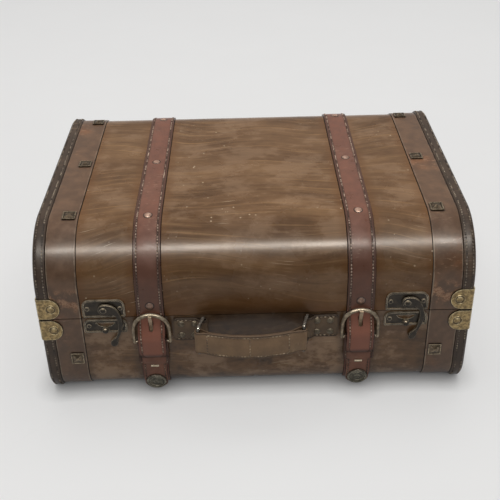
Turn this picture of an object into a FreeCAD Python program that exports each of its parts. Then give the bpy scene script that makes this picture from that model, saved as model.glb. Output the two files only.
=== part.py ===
import FreeCAD, Part
import math
import os

V = FreeCAD.Vector

# Case of bent plywood, in millimetres. The origin is the middle of the underside,
# +X runs to the right, +Y to the back and +Z up. The front is the side of the handle.
case_width = 450.0
case_depth = 348.0
case_height = 190.0
seam_height = 100.0
seam_gap = 0.8
wall = 6.0
end_thickness = 8.0
lid_front_height = 30.0
base_edge_radius = 30.0
lining_thickness = 1.0

# Clearances: glued pieces, pieces that move past each other, pins in their bores
glue_gap = 0.1
running_gap = 0.3
pin_gap = 0.05
overrun = 4.0

# Leather edging and bands at both ends
edging_thickness = 2.0
edging_width = 13.0
edging_round = 3.0
band_thickness = 1.2
band_width = 30.5
skin_stop_angle = 28.0
floor_gap = 0.4

# Square studs on the bands
stud_side = 13.5
stud_plate = 0.8
stud_rim = 1.1
stud_rim_height = 1.4
stud_height = 3.0
stud_tip_share = 0.16
stud_inset = 9.6
stud_past_bend = 5.0
base_stud_height = 48.5

# Brass corners at the seam
corner_size = 24.0
corner_thickness = 1.0
corner_seam_gap = 1.0
corner_round = 3.4
corner_rivet_radius = 3.6
corner_rivet_height = 1.6
corner_rivet_inset = 9.0

# Straps over the lid and their rivets
strap_width = 28.0
strap_thickness = 2.2
strap_seam_gap = 1.0
base_strap_front_drop = 10.0
strap_rivet_radius = 4.0
strap_rivet_height = 1.6
strap_rivet_past_bend = 8.0
front_rivet_rise = 14.6
back_rivet_from_seam = 14.0

# Buckle: horseshoe frame, heel bar and prong
buckle_clasp_gap = 5.0
buckle_width = 41.0
buckle_wire = 4.0
heel_bar_drop = 28.0
heel_bar_radius = 1.6
buckle_above_bar = 36.3
buckle_below_bar = 2.0
arc_out = 7.0
prong_width = 3.4
prong_thickness = 2.6
prong_bend_out = 4.6
prong_bend_rise = 18.0
prong_bend = 10.0
prong_tip_short = 0.3
prong_tip_lift = 0.6
prong_eye_wall = 1.2

# Hanging end of each strap: fold above the seam, the rest above or below the heel bar
fold_rise = 8.5
flap_tail_dip = 3.2
flap_tail_dip_rise = 25.0
flap_tail_over_bar = 11.9
flap_tail_shoulder_rise = 7.0
flap_tail_end = 10.2
flap_tail_end_drop = 17.5
flap_tail_bend = 8.0
flap_tail_corner = 6.0
prong_slot_low = 14.0
prong_slot_high = 25.5
prong_slot_gap = 0.5

# Leather tab folded round the heel bar, with its snap
tab_leather = 1.5
tab_top_width = 32.0
tab_shoulder_drop = 24.5
tab_shoulder_corner = 1.0
tab_neck_corner = 2.5
tab_bottom_width = 24.5
tab_bottom_corner = 8.0
tab_sewn_drop = 14.0
tab_tilt_below_bend = 5.0
tab_tilt = 13.0
tab_bottom = 5.6
snap_radius = 10.5
snap_height = 17.0
snap_rim = 1.4
snap_thickness = 1.2
snap_rim_height = 1.9
snap_dome_radius = 5.0
snap_dome_height = 1.7
magnet_radius = 8.0

# Clasps: lid plate, swinging hook, keep plate with a lug
clasp_band_gap = 1.9
clasp_plate_width = 44.0
clasp_plate_rise = 23.0
clasp_plate_thickness = 1.2
clasp_rim_width = 1.5
clasp_rim_height = 0.7
clasp_plate_corner = 8.0
clasp_plate_foot_corner = 2.0
clasp_seam_gap = 1.6
clasp_screw_spacing = 34.0
clasp_screw_radius = 2.6
clasp_screw_height = 0.9
keep_width = 45.0
keep_drop = 18.0
keep_corner = 7.0
lug_radius = 3.0
lug_reach = 4.8
lug_below_pivot = 26.0
keep_slot_half = 10.0
keep_slot_drop = 6.0
keep_slot_sag = 5.0
hook_pivot_rise = 12.0
hook_reach = 47.0
hook_thickness = 2.5
hook_edge = 0.6
hook_pin_radius = 2.0
hook_head_radius = 3.4
hook_head_height = 1.4

# Handle: tabs on the base, rings and leather grip
handle_buckle_gap = 2.5
handle_drop = 16.0
handle_leather_width = 28.0
handle_leather = 1.6
handle_tab_length = 32.0
handle_tab_corner = 4.0
handle_tab_rivet_radius = 3.6
handle_tab_rivet_height = 1.6
handle_rivet_first = 10.0
handle_rivet_step = 14.0
handle_rivet_rise = 14.0
ring_wire = 3.5
ring_reach = 21.0
ring_corner = 3.0
ring_side_gap = 0.4
handle_rest_swing = 15.0
grip_thickness = 4.4
grip_bow = 9.0

# Hinges at the back
hinge_band_gap = 9.4
hinge_width = 40.0
hinge_leaf_height = 20.0
hinge_leaf_thickness = 1.5
hinge_knuckle_radius = 4.0
hinge_axis_out = 4.5
hinge_pin_radius = 1.5
hinge_pin_head_radius = 2.6
hinge_pin_head = 1.2
hinge_knuckle_share = 0.3
hinge_screw_radius = 2.6
hinge_screw_height = 0.9
hinge_screw_from_seam = 13.0
hinge_screw_spacing = 26.0

# Places worked out from the sizes above
case_half = case_width / 2
shell_half = case_half - edging_thickness
front_face = -case_depth / 2
back_face = case_depth / 2
base_top = seam_height - seam_gap / 2
lid_bottom = seam_height + seam_gap / 2
lid_edge_radius = case_height - seam_height - lid_front_height
lid_flat = case_depth / 2 - lid_edge_radius
edging_inner = case_half - edging_width
band_outer = edging_inner - glue_gap
band_inner = band_outer - band_width
stud_x = band_inner + stud_inset
clasp_x = band_inner - clasp_band_gap - keep_width / 2
strap_x = clasp_x - keep_width / 2 - buckle_clasp_gap - buckle_width / 2
handle_x = strap_x - buckle_width / 2 - handle_buckle_gap - handle_tab_length
hinge_x = band_inner - hinge_band_gap - hinge_width / 2
strap_outside = glue_gap + strap_thickness
clasp_plate_top = seam_height + clasp_plate_rise
keep_bottom = seam_height - keep_drop
hook_pivot_height = seam_height + hook_pivot_rise
hook_inside = glue_gap + clasp_plate_thickness + clasp_screw_height + running_gap
fold_height = seam_height + fold_rise
fold_out = running_gap + strap_thickness / 2
heel_bar_height = seam_height - heel_bar_drop
buckle_top = heel_bar_height + buckle_above_bar
heel_bar_bore = heel_bar_radius + running_gap
heel_fold_radius = heel_bar_bore + tab_leather
heel_bar_out = strap_outside + running_gap + heel_fold_radius + glue_gap
tab_back_out = heel_bar_out - heel_fold_radius
tab_thickness = 2 * tab_leather
tab_sewn_height = heel_bar_height - tab_sewn_drop
tab_shoulder_height = heel_bar_height - tab_shoulder_drop
tab_tilt_height = base_edge_radius - tab_tilt_below_bend
bar_bore = ring_wire / 2 + running_gap
bar_loop_radius = bar_bore + handle_leather
ring_bar_out = glue_gap + bar_loop_radius
grip_bar_out = ring_bar_out + ring_reach * math.cos(math.radians(handle_rest_swing))
grip_shift = -ring_reach * math.sin(math.radians(handle_rest_swing))
handle_height = seam_height - handle_drop
handle_low = handle_height - handle_leather_width / 2
handle_high = handle_height + handle_leather_width / 2
sides = {"left": -1, "right": 1}

X_AXIS = V(1, 0, 0)
Y_AXIS = V(0, 1, 0)
Z_AXIS = V(0, 0, 1)
ORIGIN = V(0, 0, 0)


# Shapes that several pieces use

def block(x_range, y_range, z_range):
    """A box between its low and high sides."""
    x_low, x_high = sorted(x_range)
    y_low, y_high = sorted(y_range)
    z_low, z_high = sorted(z_range)
    return Part.makeBox(x_high - x_low, y_high - y_low, z_high - z_low, V(x_low, y_low, z_low))


def rod(radius, start, end):
    """A round bar from one point to another."""
    return Part.makeCylinder(radius, (end - start).Length, start, end - start)


def dome(radius, height):
    """A low round head that stands on the XY plane."""
    ball = (radius ** 2 + height ** 2) / (2 * height)
    low_angle = math.degrees(math.asin((ball - height) / ball))
    return Part.makeSphere(ball, V(0, 0, height - ball), Z_AXIS, low_angle, 90)


def screw_head(radius, height):
    """A flat countersunk head that shows as a low cone."""
    return Part.makeCone(radius, radius - height / 2, height)


def corner_arc(before, corner, after, radius):
    """First, middle and last point of the arc that rounds a corner."""
    back = (before - corner).normalize()
    ahead = (after - corner).normalize()
    half = back.getAngle(ahead) / 2
    inward = (back + ahead).normalize()
    reach = radius / math.tan(half)
    middle = corner + inward * (radius / math.sin(half) - radius)
    return corner + back * reach, middle, corner + ahead * reach


def rounded_path(points, radius):
    """An open path of straight runs joined by tangent arcs."""
    edges = []
    start = points[0]
    for before, corner, after in zip(points, points[1:], points[2:]):
        first, middle, last = corner_arc(before, corner, after, radius)
        edges.append(Part.LineSegment(start, first).toShape())
        edges.append(Part.Arc(first, middle, last).toShape())
        start = last
    edges.append(Part.LineSegment(start, points[-1]).toShape())
    return Part.Wire(edges)


def rounded_face(corners, radii):
    """A flat face whose corners are rounded, each by its own radius."""
    count = len(corners)
    ends = []
    arcs = []
    for i, radius in enumerate(radii):
        if radius:
            first, middle, last = corner_arc(corners[i - 1], corners[i], corners[(i + 1) % count], radius)
            arcs.append(Part.Arc(first, middle, last).toShape())
            ends.append((first, last))
        else:
            arcs.append(None)
            ends.append((corners[i], corners[i]))
    edges = []
    for i in range(count):
        if arcs[i]:
            edges.append(arcs[i])
        edges.append(Part.LineSegment(ends[i][1], ends[(i + 1) % count][0]).toShape())
    return Part.Face(Part.Wire(edges))


def trough(half_depth, floor, mouth, radius, x_low, x_high):
    """A filled trough along X, flat at its floor and rounded into its front and back."""
    corners = [
        V(x_low, -half_depth, mouth),
        V(x_low, -half_depth, floor),
        V(x_low, half_depth, floor),
        V(x_low, half_depth, mouth),
    ]
    face = rounded_face(corners, [0, radius, radius, 0])
    return face.extrude(V(x_high - x_low, 0, 0))


def base_form(out, x_low, x_high):
    """The base's outline, grown outwards, between two places along X."""
    return trough(case_depth / 2 + out, -out, base_top, base_edge_radius + out, x_low, x_high)


def lid_form(out, x_low, x_high):
    """The lid's outline, grown outwards, between two places along X."""
    return trough(case_depth / 2 + out, case_height + out, lid_bottom, lid_edge_radius + out, x_low, x_high)


def skin(form, thickness, x_low, x_high):
    """A layer of leather laid over the lid or the base."""
    outside = form(glue_gap + thickness, x_low, x_high)
    return outside.cut(form(glue_gap, x_low - overrun, x_high + overrun))


def clear_underside(shape, half_width):
    """Ends a layer on the base where the bottom rounding turns under, so that the wood meets the floor."""
    reach = base_edge_radius * math.sin(math.radians(skin_stop_angle))
    stop = case_depth / 2 - base_edge_radius + reach
    under = block((-half_width, half_width), (-stop, stop), (-case_height, base_top + overrun))
    floor = block((-case_width, case_width), (-case_depth, case_depth), (-case_height, floor_gap))
    return shape.cut(under).cut(floor)


def front(x, out, z):
    """A point at a distance out from the wood of the front."""
    return V(x, front_face - out, z)


def face_front(shape, x, out, z):
    """Turns a shape that stands on the XY plane to stand on the front."""
    placed = shape.copy()
    placed.rotate(ORIGIN, X_AXIS, 90)
    placed.translate(front(x, out, z))
    return placed


def face_back(shape, x, out, z):
    """Turns a shape that stands on the XY plane to stand on the back."""
    placed = shape.copy()
    placed.rotate(ORIGIN, X_AXIS, -90)
    placed.translate(V(x, back_face + out, z))
    return placed


def face_lid(shape, x, run, out):
    """Stands a shape on the lid, a run along the surface from the middle of the top."""
    past = max(abs(run) - lid_flat, 0)
    side = math.copysign(1, run)
    placed = shape.copy()
    placed.translate(V(x, side * (abs(run) - past), case_height + out))
    centre = V(x, side * lid_flat, case_height - lid_edge_radius)
    placed.rotate(centre, X_AXIS, -side * math.degrees(past / lid_edge_radius))
    return placed


def strip(points, bend, thickness, width, centre_x):
    """A bent strip: points are (out, z) on its middle, width runs along X."""
    path = rounded_path([front(centre_x - width / 2, out, z) for out, z in points], bend)
    return path.makeOffset2D(thickness / 2, 0, True, False).extrude(V(width, 0, 0))


def front_plate(corners, radii, inside, thickness):
    """A plate cut to an outline of (x, z) corners, lying on the front."""
    face = rounded_face([front(x, inside, z) for x, z in corners], radii)
    return face.extrude(V(0, -thickness, 0))


def rimmed_plate(corners, radii):
    """A pressed clasp plate with a raised rim all round."""
    plate = front_plate(corners, radii, glue_gap, clasp_plate_thickness + clasp_rim_height)
    pressed = rounded_face([front(x, glue_gap + clasp_plate_thickness, z) for x, z in corners], radii)
    middle = pressed.makeOffset2D(-clasp_rim_width)
    return plate.cut(middle.extrude(V(0, -overrun, 0)))


# Plywood shells, end panels and cloth linings

def shell(form):
    """Bent plywood, open at the seam and at both ends."""
    return form(0, -shell_half, shell_half).cut(form(-wall, -shell_half - overrun, shell_half + overrun))


def end_panel(form, side):
    """The board that closes one end of a shell."""
    return form(-wall - glue_gap, *sorted((side * shell_half, side * (shell_half - end_thickness))))


def lining(form):
    """Cloth glued to the inside of a shell and its end panels."""
    outside = wall + 2 * glue_gap
    half = shell_half - end_thickness - glue_gap
    inside = outside + lining_thickness
    inner_half = half - lining_thickness
    return form(-outside, -half, half).cut(form(-inside, -inner_half, inner_half))


# Leather edging and bands

def edging(form, side):
    """Leather folded over the edge of a shell and onto its end panel."""
    leather = form(edging_thickness, *sorted((side * edging_inner, side * case_half)))
    outer = []
    for edge in leather.Edges:
        box = edge.BoundBox
        at_end = min(abs(box.XMin), abs(box.XMax)) > case_half - glue_gap
        at_seam = max(abs(box.ZMin - seam_height), abs(box.ZMax - seam_height)) < seam_gap
        if at_end and not at_seam:
            outer.append(edge)
    leather = leather.makeFillet(edging_round, outer)
    inside = form(glue_gap, *sorted((side * (edging_inner - overrun), side * (shell_half + glue_gap))))
    window = form(-edging_width, *sorted((side * shell_half, side * (case_half + overrun))))
    return leather.cut(inside).cut(window)


def band(form, side):
    """A leather band beside the edging."""
    return skin(form, band_thickness, *sorted((side * band_inner, side * band_outer)))


def square(size, z):
    """A square outline about the Z axis."""
    half = size / 2
    corners = [V(-half, -half, z), V(half, -half, z), V(half, half, z), V(-half, half, z)]
    return Part.makePolygon(corners + corners[:1])


def stud():
    """A square nail head: a raised rim round a low pyramid."""
    inner = stud_side - 2 * stud_rim
    plate = Part.Face(square(stud_side, 0)).extrude(V(0, 0, stud_rim_height))
    plate = plate.cut(Part.Face(square(inner, stud_plate)).extrude(V(0, 0, stud_rim_height)))
    foot = square(inner, stud_plate)
    tip = square(inner * stud_tip_share, stud_height)
    return plate.fuse(Part.makeLoft([foot, tip], True, True)).removeSplitter()


def lid_band_studs():
    """Three studs on each lid band."""
    out = 2 * glue_gap + band_thickness
    row = lid_flat + stud_past_bend
    rows = (-row, 0, row)
    return [face_lid(stud(), side * stud_x, run, out) for side in sides.values() for run in rows]


def base_band_studs():
    """One stud low on each base band, front and back."""
    out = 2 * glue_gap + band_thickness
    studs = []
    for side in sides.values():
        studs.append(face_front(stud(), side * stud_x, out, base_stud_height))
        studs.append(face_back(stud(), side * stud_x, out, base_stud_height))
    return studs


# Brass corners

def lobe(length):
    """A flat brass leaf with one round end, lying on the XY plane from x = 0."""
    half = corner_size / 2
    corners = [V(0, -half, 0), V(length, -half, 0), V(length, half, 0), V(0, half, 0)]
    nearly_half = half - glue_gap
    return rounded_face(corners, [0, nearly_half, nearly_half, 0]).extrude(V(0, 0, corner_thickness))


def corner(centre_z):
    """A brass corner on the right front edge: two leaves bent round the edging, with rivets."""
    out = edging_thickness + glue_gap
    outside = out + corner_thickness
    end_x = case_half + glue_gap
    front_leaf = lobe(corner_size)
    front_leaf.rotate(ORIGIN, Z_AXIS, 180)
    front_leaf = face_front(front_leaf, end_x + corner_thickness, out, centre_z)
    end_leaf = lobe(corner_size)
    end_leaf.rotate(ORIGIN, X_AXIS, 90)
    end_leaf.rotate(ORIGIN, Z_AXIS, 90)
    end_leaf.translate(V(end_x, front_face - outside, centre_z))
    bracket = front_leaf.fuse(end_leaf).removeSplitter()
    bend = []
    for edge in bracket.Edges:
        box = edge.BoundBox
        if box.ZLength > corner_size / 2 and box.XLength < glue_gap and box.YLength < glue_gap:
            if box.XMax > end_x + corner_thickness / 2 and box.YMin < front_face - out - corner_thickness / 2:
                bend.append(edge)
    bracket = bracket.makeFillet(corner_round, bend)
    head = dome(corner_rivet_radius, corner_rivet_height)
    inset = corner_size - corner_rivet_inset
    front_rivet = face_front(head, end_x + corner_thickness - inset, outside, centre_z)
    end_rivet = head.copy()
    end_rivet.rotate(ORIGIN, Y_AXIS, 90)
    end_rivet.translate(V(end_x + corner_thickness, front_face - outside + inset, centre_z))
    return [bracket, front_rivet, end_rivet]


def four_corners(centre_z):
    """The same corner at both ends, front and back."""
    pieces = []
    for piece in corner(centre_z):
        left = piece.mirror(ORIGIN, X_AXIS)
        pieces += [piece, left, piece.mirror(ORIGIN, Y_AXIS), left.mirror(ORIGIN, Y_AXIS)]
    return pieces


# Straps on lid and base

def lid_strap(side):
    """The strap from the fold line over the lid to the seam at the back."""
    x = side * strap_x
    strap = skin(lid_form, strap_thickness, x - strap_width / 2, x + strap_width / 2)
    front_end = fold_height + strap_thickness / 2 + running_gap
    across = (-case_width, case_width)
    strap = strap.cut(block(across, (-case_depth, 0), (0, front_end)))
    return strap.cut(block(across, (0, case_depth), (0, seam_height + strap_seam_gap)))


def base_strap(side):
    """The strap's parts on the base: behind the tab at the front, and down the back."""
    x = side * strap_x
    strap = skin(base_form, strap_thickness, x - strap_width / 2, x + strap_width / 2)
    across = (-case_width, case_width)
    strap = strap.cut(block(across, (-case_depth, 0), (seam_height - base_strap_front_drop, case_height)))
    strap = strap.cut(block(across, (0, case_depth), (seam_height - strap_seam_gap, case_height)))
    return clear_underside(strap, case_width)


def strap_rivets():
    """Round rivets on top of each strap, one above its fold and one above the seam at the back."""
    head = dome(strap_rivet_radius, strap_rivet_height)
    out = strap_outside + glue_gap
    rivets = []
    row = lid_flat + strap_rivet_past_bend
    for side in sides.values():
        x = side * strap_x
        rivets += [face_lid(head, x, run, out) for run in (-row, 0, row)]
        rivets.append(face_front(head, x, out, seam_height + front_rivet_rise))
        rivets.append(face_back(head, x, out, seam_height + back_rivet_from_seam))
    return rivets


def base_strap_rivets():
    """One rivet on the back of each base strap."""
    head = dome(strap_rivet_radius, strap_rivet_height)
    out = strap_outside + glue_gap
    z = seam_height - back_rivet_from_seam
    return [face_back(head, side * strap_x, out, z) for side in sides.values()]


# Hanging strap end, buckle, tab and snap

def strap_tail(side):
    """The strap's free end: out under the buckle's arc, over its heel bar and down."""
    points = [
        (fold_out, fold_height),
        (flap_tail_dip, heel_bar_height + flap_tail_dip_rise),
        (flap_tail_over_bar, heel_bar_height + flap_tail_shoulder_rise),
        (flap_tail_end, heel_bar_height - flap_tail_end_drop),
    ]
    x = side * strap_x
    tail = strip(points, flap_tail_bend, strap_thickness, strap_width, x)
    half = strap_width / 2
    low = heel_bar_height - flap_tail_end_drop - strap_thickness / 2
    high = fold_height + strap_thickness
    outline = [(x - half, high), (x - half, low), (x + half, low), (x + half, high)]
    radii = [0, flap_tail_corner, flap_tail_corner, 0]
    reach = flap_tail_over_bar + strap_thickness
    tail = tail.common(front_plate(outline, radii, -overrun, reach + 2 * overrun))
    slot = prong_width / 2 + prong_slot_gap
    deep = (front_face - flap_tail_over_bar - overrun, front_face)
    tall = (heel_bar_height + prong_slot_low, heel_bar_height + prong_slot_high)
    return tail.cut(block((x - slot, x + slot), deep, tall))


def buckle_frame(side):
    """A horseshoe of round wire with a straight heel bar between its legs."""
    half = (buckle_width - buckle_wire) / 2
    crown = buckle_top - buckle_wire / 2
    spring = crown - half
    x = side * strap_x
    low = heel_bar_height - buckle_below_bar + buckle_wire / 2
    points = [front(x + dx, heel_bar_out, z) for dx, z in
              ((-half, low), (-half, spring), (0, crown), (half, spring), (half, low))]
    path = Part.Wire([
        Part.LineSegment(points[0], points[1]).toShape(),
        Part.Arc(points[1], points[2], points[3]).toShape(),
        Part.LineSegment(points[3], points[4]).toShape(),
    ])
    ring = Part.Wire(Part.makeCircle(buckle_wire / 2, points[0], Z_AXIS))
    frame = path.makePipeShell([ring], True, False)
    for end in (points[0], points[4]):
        frame = frame.fuse(Part.makeSphere(buckle_wire / 2, end))
    ends = [front(x + dx, heel_bar_out, heel_bar_height) for dx in (-half, half)]
    frame = frame.fuse(rod(heel_bar_radius, *ends)).removeSplitter()
    lean = math.degrees(math.atan2(arc_out - heel_bar_out, crown - heel_bar_height))
    frame.rotate(front(x, heel_bar_out, heel_bar_height), X_AXIS, lean)
    return frame


def buckle_prong(side):
    """The prong: an eye on the heel bar, a shank behind the strap and a tip on the arc."""
    x = side * strap_x
    tip_out = arc_out + (buckle_wire + prong_thickness) / 2 + running_gap + prong_tip_lift
    points = [
        (heel_bar_out, heel_bar_height + heel_bar_radius + prong_thickness / 2),
        (prong_bend_out, heel_bar_height + prong_bend_rise),
        (tip_out, buckle_top - prong_tip_short - prong_thickness / 2),
    ]
    prong = strip(points, prong_bend, prong_thickness, prong_width, x)
    ends = [front(x + dx, heel_bar_out, heel_bar_height) for dx in (-prong_width / 2, prong_width / 2)]
    bore = heel_bar_radius + glue_gap
    prong = prong.fuse(rod(bore + prong_eye_wall, *ends))
    past = [front(x + dx, heel_bar_out, heel_bar_height) for dx in (-prong_width, prong_width)]
    return prong.cut(rod(bore, *past))


def tab_line(z):
    """How far out the back of the tab hangs at a height."""
    drop = max(tab_tilt_height - z, 0)
    return tab_back_out - drop * math.tan(math.radians(tab_tilt))


def buckle_tab(side):
    """Leather folded round the heel bar, sewn below it, shouldered and tilted in at the bottom."""
    x = side * strap_x
    profile = [
        (tab_back_out, heel_bar_height),
        (tab_back_out, tab_tilt_height),
        (tab_line(tab_bottom), tab_bottom),
        (tab_line(tab_bottom) + tab_thickness, tab_bottom),
        (tab_back_out + tab_thickness, tab_tilt_height),
        (tab_back_out + tab_thickness, tab_sewn_height),
        (heel_bar_out + heel_fold_radius, heel_bar_height),
    ]
    half = tab_top_width / 2
    low = tab_bottom_width / 2
    corners = [front(x - half, out, z) for out, z in profile]
    sheet = Part.Face(Part.makePolygon(corners + corners[:1])).extrude(V(tab_top_width, 0, 0))
    ends = [front(x + dx, heel_bar_out, heel_bar_height) for dx in (-half, half)]
    past = [front(x + dx, heel_bar_out, heel_bar_height) for dx in (-half - overrun, half + overrun)]
    tab = sheet.fuse(rod(heel_fold_radius, *ends)).cut(rod(heel_bar_bore, *past))
    top = heel_bar_height + heel_fold_radius + overrun
    ledge = tab_shoulder_height
    outline = [(x - half, top), (x - half, ledge), (x - low, ledge), (x - low, tab_bottom), (x + low, tab_bottom),
               (x + low, ledge), (x + half, ledge), (x + half, top)]
    radii = [0, tab_shoulder_corner, tab_neck_corner, tab_bottom_corner]
    radii += reversed(radii)
    deep = case_depth / 2
    tab = tab.common(front_plate(outline, radii, -base_edge_radius, deep))
    slot = prong_width / 2 + prong_slot_gap
    eye = heel_bar_radius + glue_gap + prong_eye_wall + prong_slot_gap
    opening = block((x - slot, x + slot), (front_face - deep, front_face), (heel_bar_height - eye, top))
    return tab.cut(opening)


def on_tab(shape, x, out):
    """Stands a shape on the tilted lower part of the tab, a distance out from its back."""
    placed = shape.copy()
    placed.translate(V(0, 0, out))
    placed.rotate(ORIGIN, X_AXIS, 90 + tab_tilt)
    placed.translate(front(x, tab_line(snap_height), snap_height))
    return placed


def snap_cap(side):
    """A round metal cap with a raised rim and a low dome."""
    inner = snap_radius - snap_rim
    cap = Part.makeCylinder(snap_radius, snap_rim_height)
    cap = cap.cut(Part.makeCylinder(inner, snap_rim_height, V(0, 0, snap_thickness)))
    cap = cap.fuse(Part.makeCone(snap_dome_radius, snap_dome_radius / 2, snap_dome_height)).removeSplitter()
    out = (tab_thickness + glue_gap) / math.cos(math.radians(tab_tilt))
    return on_tab(cap, side * strap_x, out)


def snap_studs():
    """The magnet halves of the snaps, seated on the base straps."""
    studs = []
    for side in sides.values():
        post = Part.makeCylinder(magnet_radius, base_edge_radius)
        post = on_tab(post, side * strap_x, -base_edge_radius - running_gap)
        seat = base_form(strap_outside + glue_gap, -case_half, case_half)
        studs.append(post.cut(seat))
    return studs


# Clasps

def clasp_plate(side):
    """The lid plate, rounded at its upper corners."""
    x = side * clasp_x
    half = clasp_plate_width / 2
    low = seam_height + clasp_seam_gap
    outline = [(x - half, low), (x + half, low), (x + half, clasp_plate_top), (x - half, clasp_plate_top)]
    radii = [clasp_plate_foot_corner, clasp_plate_foot_corner, clasp_plate_corner, clasp_plate_corner]
    return rimmed_plate(outline, radii)


def clasp_keep(side):
    """The base plate with a slot cut above a lug that is bent out of it."""
    x = side * clasp_x
    half = keep_width / 2
    high = seam_height - clasp_seam_gap
    outline = [(x - half, keep_bottom), (x + half, keep_bottom), (x + half, high), (x - half, high)]
    radii = [clasp_plate_foot_corner, clasp_plate_foot_corner, keep_corner, keep_corner]
    plate = rimmed_plate(outline, radii)
    slot_top = seam_height - keep_slot_drop
    left = front(x - keep_slot_half, -overrun, slot_top)
    right = front(x + keep_slot_half, -overrun, slot_top)
    sag = front(x, -overrun, slot_top - keep_slot_sag)
    smile = Part.Wire([Part.Arc(left, sag, right).toShape(), Part.LineSegment(right, left).toShape()])
    plate = plate.cut(Part.Face(smile).extrude(V(0, -3 * overrun, 0)))
    lug_z = hook_pivot_height - lug_below_pivot
    root = glue_gap + clasp_plate_thickness / 2
    lug = rod(lug_radius, front(x, root, lug_z), front(x, root + lug_reach, lug_z))
    cap = face_front(dome(lug_radius, lug_radius / 2), x, root + lug_reach, lug_z)
    return plate.fuse(lug).fuse(cap).removeSplitter()


# Outline of the hook as shares of its reach from pivot to tip
hook_outline_shares = [
    (-0.115, 0.0), (-0.077, 0.098), (0.021, 0.136), (0.245, 0.055), (0.374, -0.191), (0.402, -0.383),
    (0.353, -0.596), (0.302, -0.713), (0.264, -0.819), (0.238, -0.945), (0.153, -1.0), (0.098, -0.972),
    (0.083, -0.906), (0.119, -0.821), (0.196, -0.755), (0.268, -0.574), (0.289, -0.383), (0.270, -0.204),
    (0.204, -0.136), (0.081, -0.134), (-0.032, -0.119), (-0.094, -0.077),
]


def clasp_hook(side):
    """A flat horn shaped hook with an eye for its pivot rivet."""
    x = side * clasp_x
    points = [front(x + hook_reach * dx, hook_inside, hook_pivot_height + hook_reach * dz)
              for dx, dz in hook_outline_shares]
    outline = Part.BSplineCurve()
    outline.interpolate(Points=points, PeriodicFlag=True)
    hook = Part.Face(Part.Wire(outline.toShape())).extrude(V(0, -hook_thickness, 0))
    front_edges = [e for e in hook.Edges if e.BoundBox.YMax < front_face - hook_inside - hook_thickness / 2]
    hook = hook.makeFillet(hook_edge, front_edges)
    inside = front(x, hook_inside - overrun, hook_pivot_height)
    outside = front(x, hook_inside + hook_thickness + overrun, hook_pivot_height)
    return hook.cut(rod(hook_pin_radius + pin_gap, inside, outside))


def clasp_rivets():
    """The rivets that the hooks turn on."""
    rivets = []
    foot = glue_gap + clasp_plate_thickness
    head_foot = hook_inside + hook_thickness + running_gap
    for side in sides.values():
        x = side * clasp_x
        ends = [front(x, out, hook_pivot_height) for out in (foot, head_foot)]
        shank = rod(hook_pin_radius, *ends)
        head = face_front(dome(hook_head_radius, hook_head_height), x, head_foot, hook_pivot_height)
        rivets.append(shank.fuse(head))
    return rivets


def clasp_screws(height):
    """Two screws near the ends of each plate."""
    head = screw_head(clasp_screw_radius, clasp_screw_height)
    out = glue_gap + clasp_plate_thickness
    screws = []
    for side in sides.values():
        for end in (-1, 1):
            screws.append(face_front(head, side * clasp_x + end * clasp_screw_spacing / 2, out, height))
    return screws


# Handle

def handle_tab(side):
    """Leather folded round the ring's bar and riveted to the base in two layers."""
    bar_x = side * handle_x
    far = bar_x + side * handle_tab_length
    patch = front_plate(
        [(bar_x, handle_low), (far, handle_low), (far, handle_high), (bar_x, handle_high)],
        [0, handle_tab_corner, handle_tab_corner, 0], glue_gap, 2 * handle_leather)
    ends = [front(bar_x, ring_bar_out, z) for z in (handle_low, handle_high)]
    loop = rod(bar_loop_radius, *ends)
    low = front(bar_x, ring_bar_out, handle_low - overrun)
    high = front(bar_x, ring_bar_out, handle_high + overrun)
    return patch.fuse(loop).cut(rod(bar_bore, low, high))


def handle_rivets():
    """Four rivets on each tab."""
    head = dome(handle_tab_rivet_radius, handle_tab_rivet_height)
    out = 2 * glue_gap + 2 * handle_leather
    rivets = []
    for side in sides.values():
        for step in (0, handle_rivet_step):
            for rise in (-handle_rivet_rise / 2, handle_rivet_rise / 2):
                x = side * (handle_x + handle_rivet_first + step)
                rivets.append(face_front(head, x, out, handle_height + rise))
    return rivets


def handle_ring(side):
    """A square ring of round wire that joins a tab to the grip, swung to the left at rest."""
    x = side * handle_x
    rise = handle_leather_width / 2 + ring_side_gap + ring_wire / 2
    low = handle_height - rise
    high = handle_height + rise
    far = ring_bar_out + ring_reach
    middle = front(x, ring_bar_out, handle_height)
    corners = [front(x, ring_bar_out, low), front(x, far, low), front(x, far, high), front(x, ring_bar_out, high)]
    path = rounded_path([middle] + corners + [middle], ring_corner)
    ring = Part.Wire(Part.makeCircle(ring_wire / 2, middle, Z_AXIS))
    return path.makePipeShell([ring], True, False).rotate(middle, Z_AXIS, -handle_rest_swing)


def handle_grip():
    """The leather grip: a bowed band that is folded round both rings."""
    near = grip_bar_out + bar_loop_radius - grip_thickness
    far = grip_bar_out + bar_loop_radius
    low = handle_low
    left, right = grip_shift - handle_x, grip_shift + handle_x
    inner = [front(left, near, low), front(grip_shift, near + grip_bow, low), front(right, near, low)]
    outer = [front(right, far, low), front(grip_shift, far + grip_bow, low), front(left, far, low)]
    outline = Part.Wire([
        Part.Arc(*inner).toShape(),
        Part.LineSegment(inner[2], outer[0]).toShape(),
        Part.Arc(*outer).toShape(),
        Part.LineSegment(outer[2], inner[0]).toShape(),
    ])
    grip = Part.Face(outline).extrude(V(0, 0, handle_leather_width))
    for x in (left, right):
        ends = [front(x, grip_bar_out, z) for z in (low, handle_high)]
        grip = grip.fuse(rod(bar_loop_radius, *ends))
    for x in (left, right):
        ends = [front(x, grip_bar_out, z) for z in (low - overrun, handle_high + overrun)]
        grip = grip.cut(rod(bar_bore, *ends))
    return grip.removeSplitter()


# Hinges

def hinge_axis(x):
    """A point on the hinge line."""
    return V(x, back_face + hinge_axis_out, seam_height)


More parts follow.
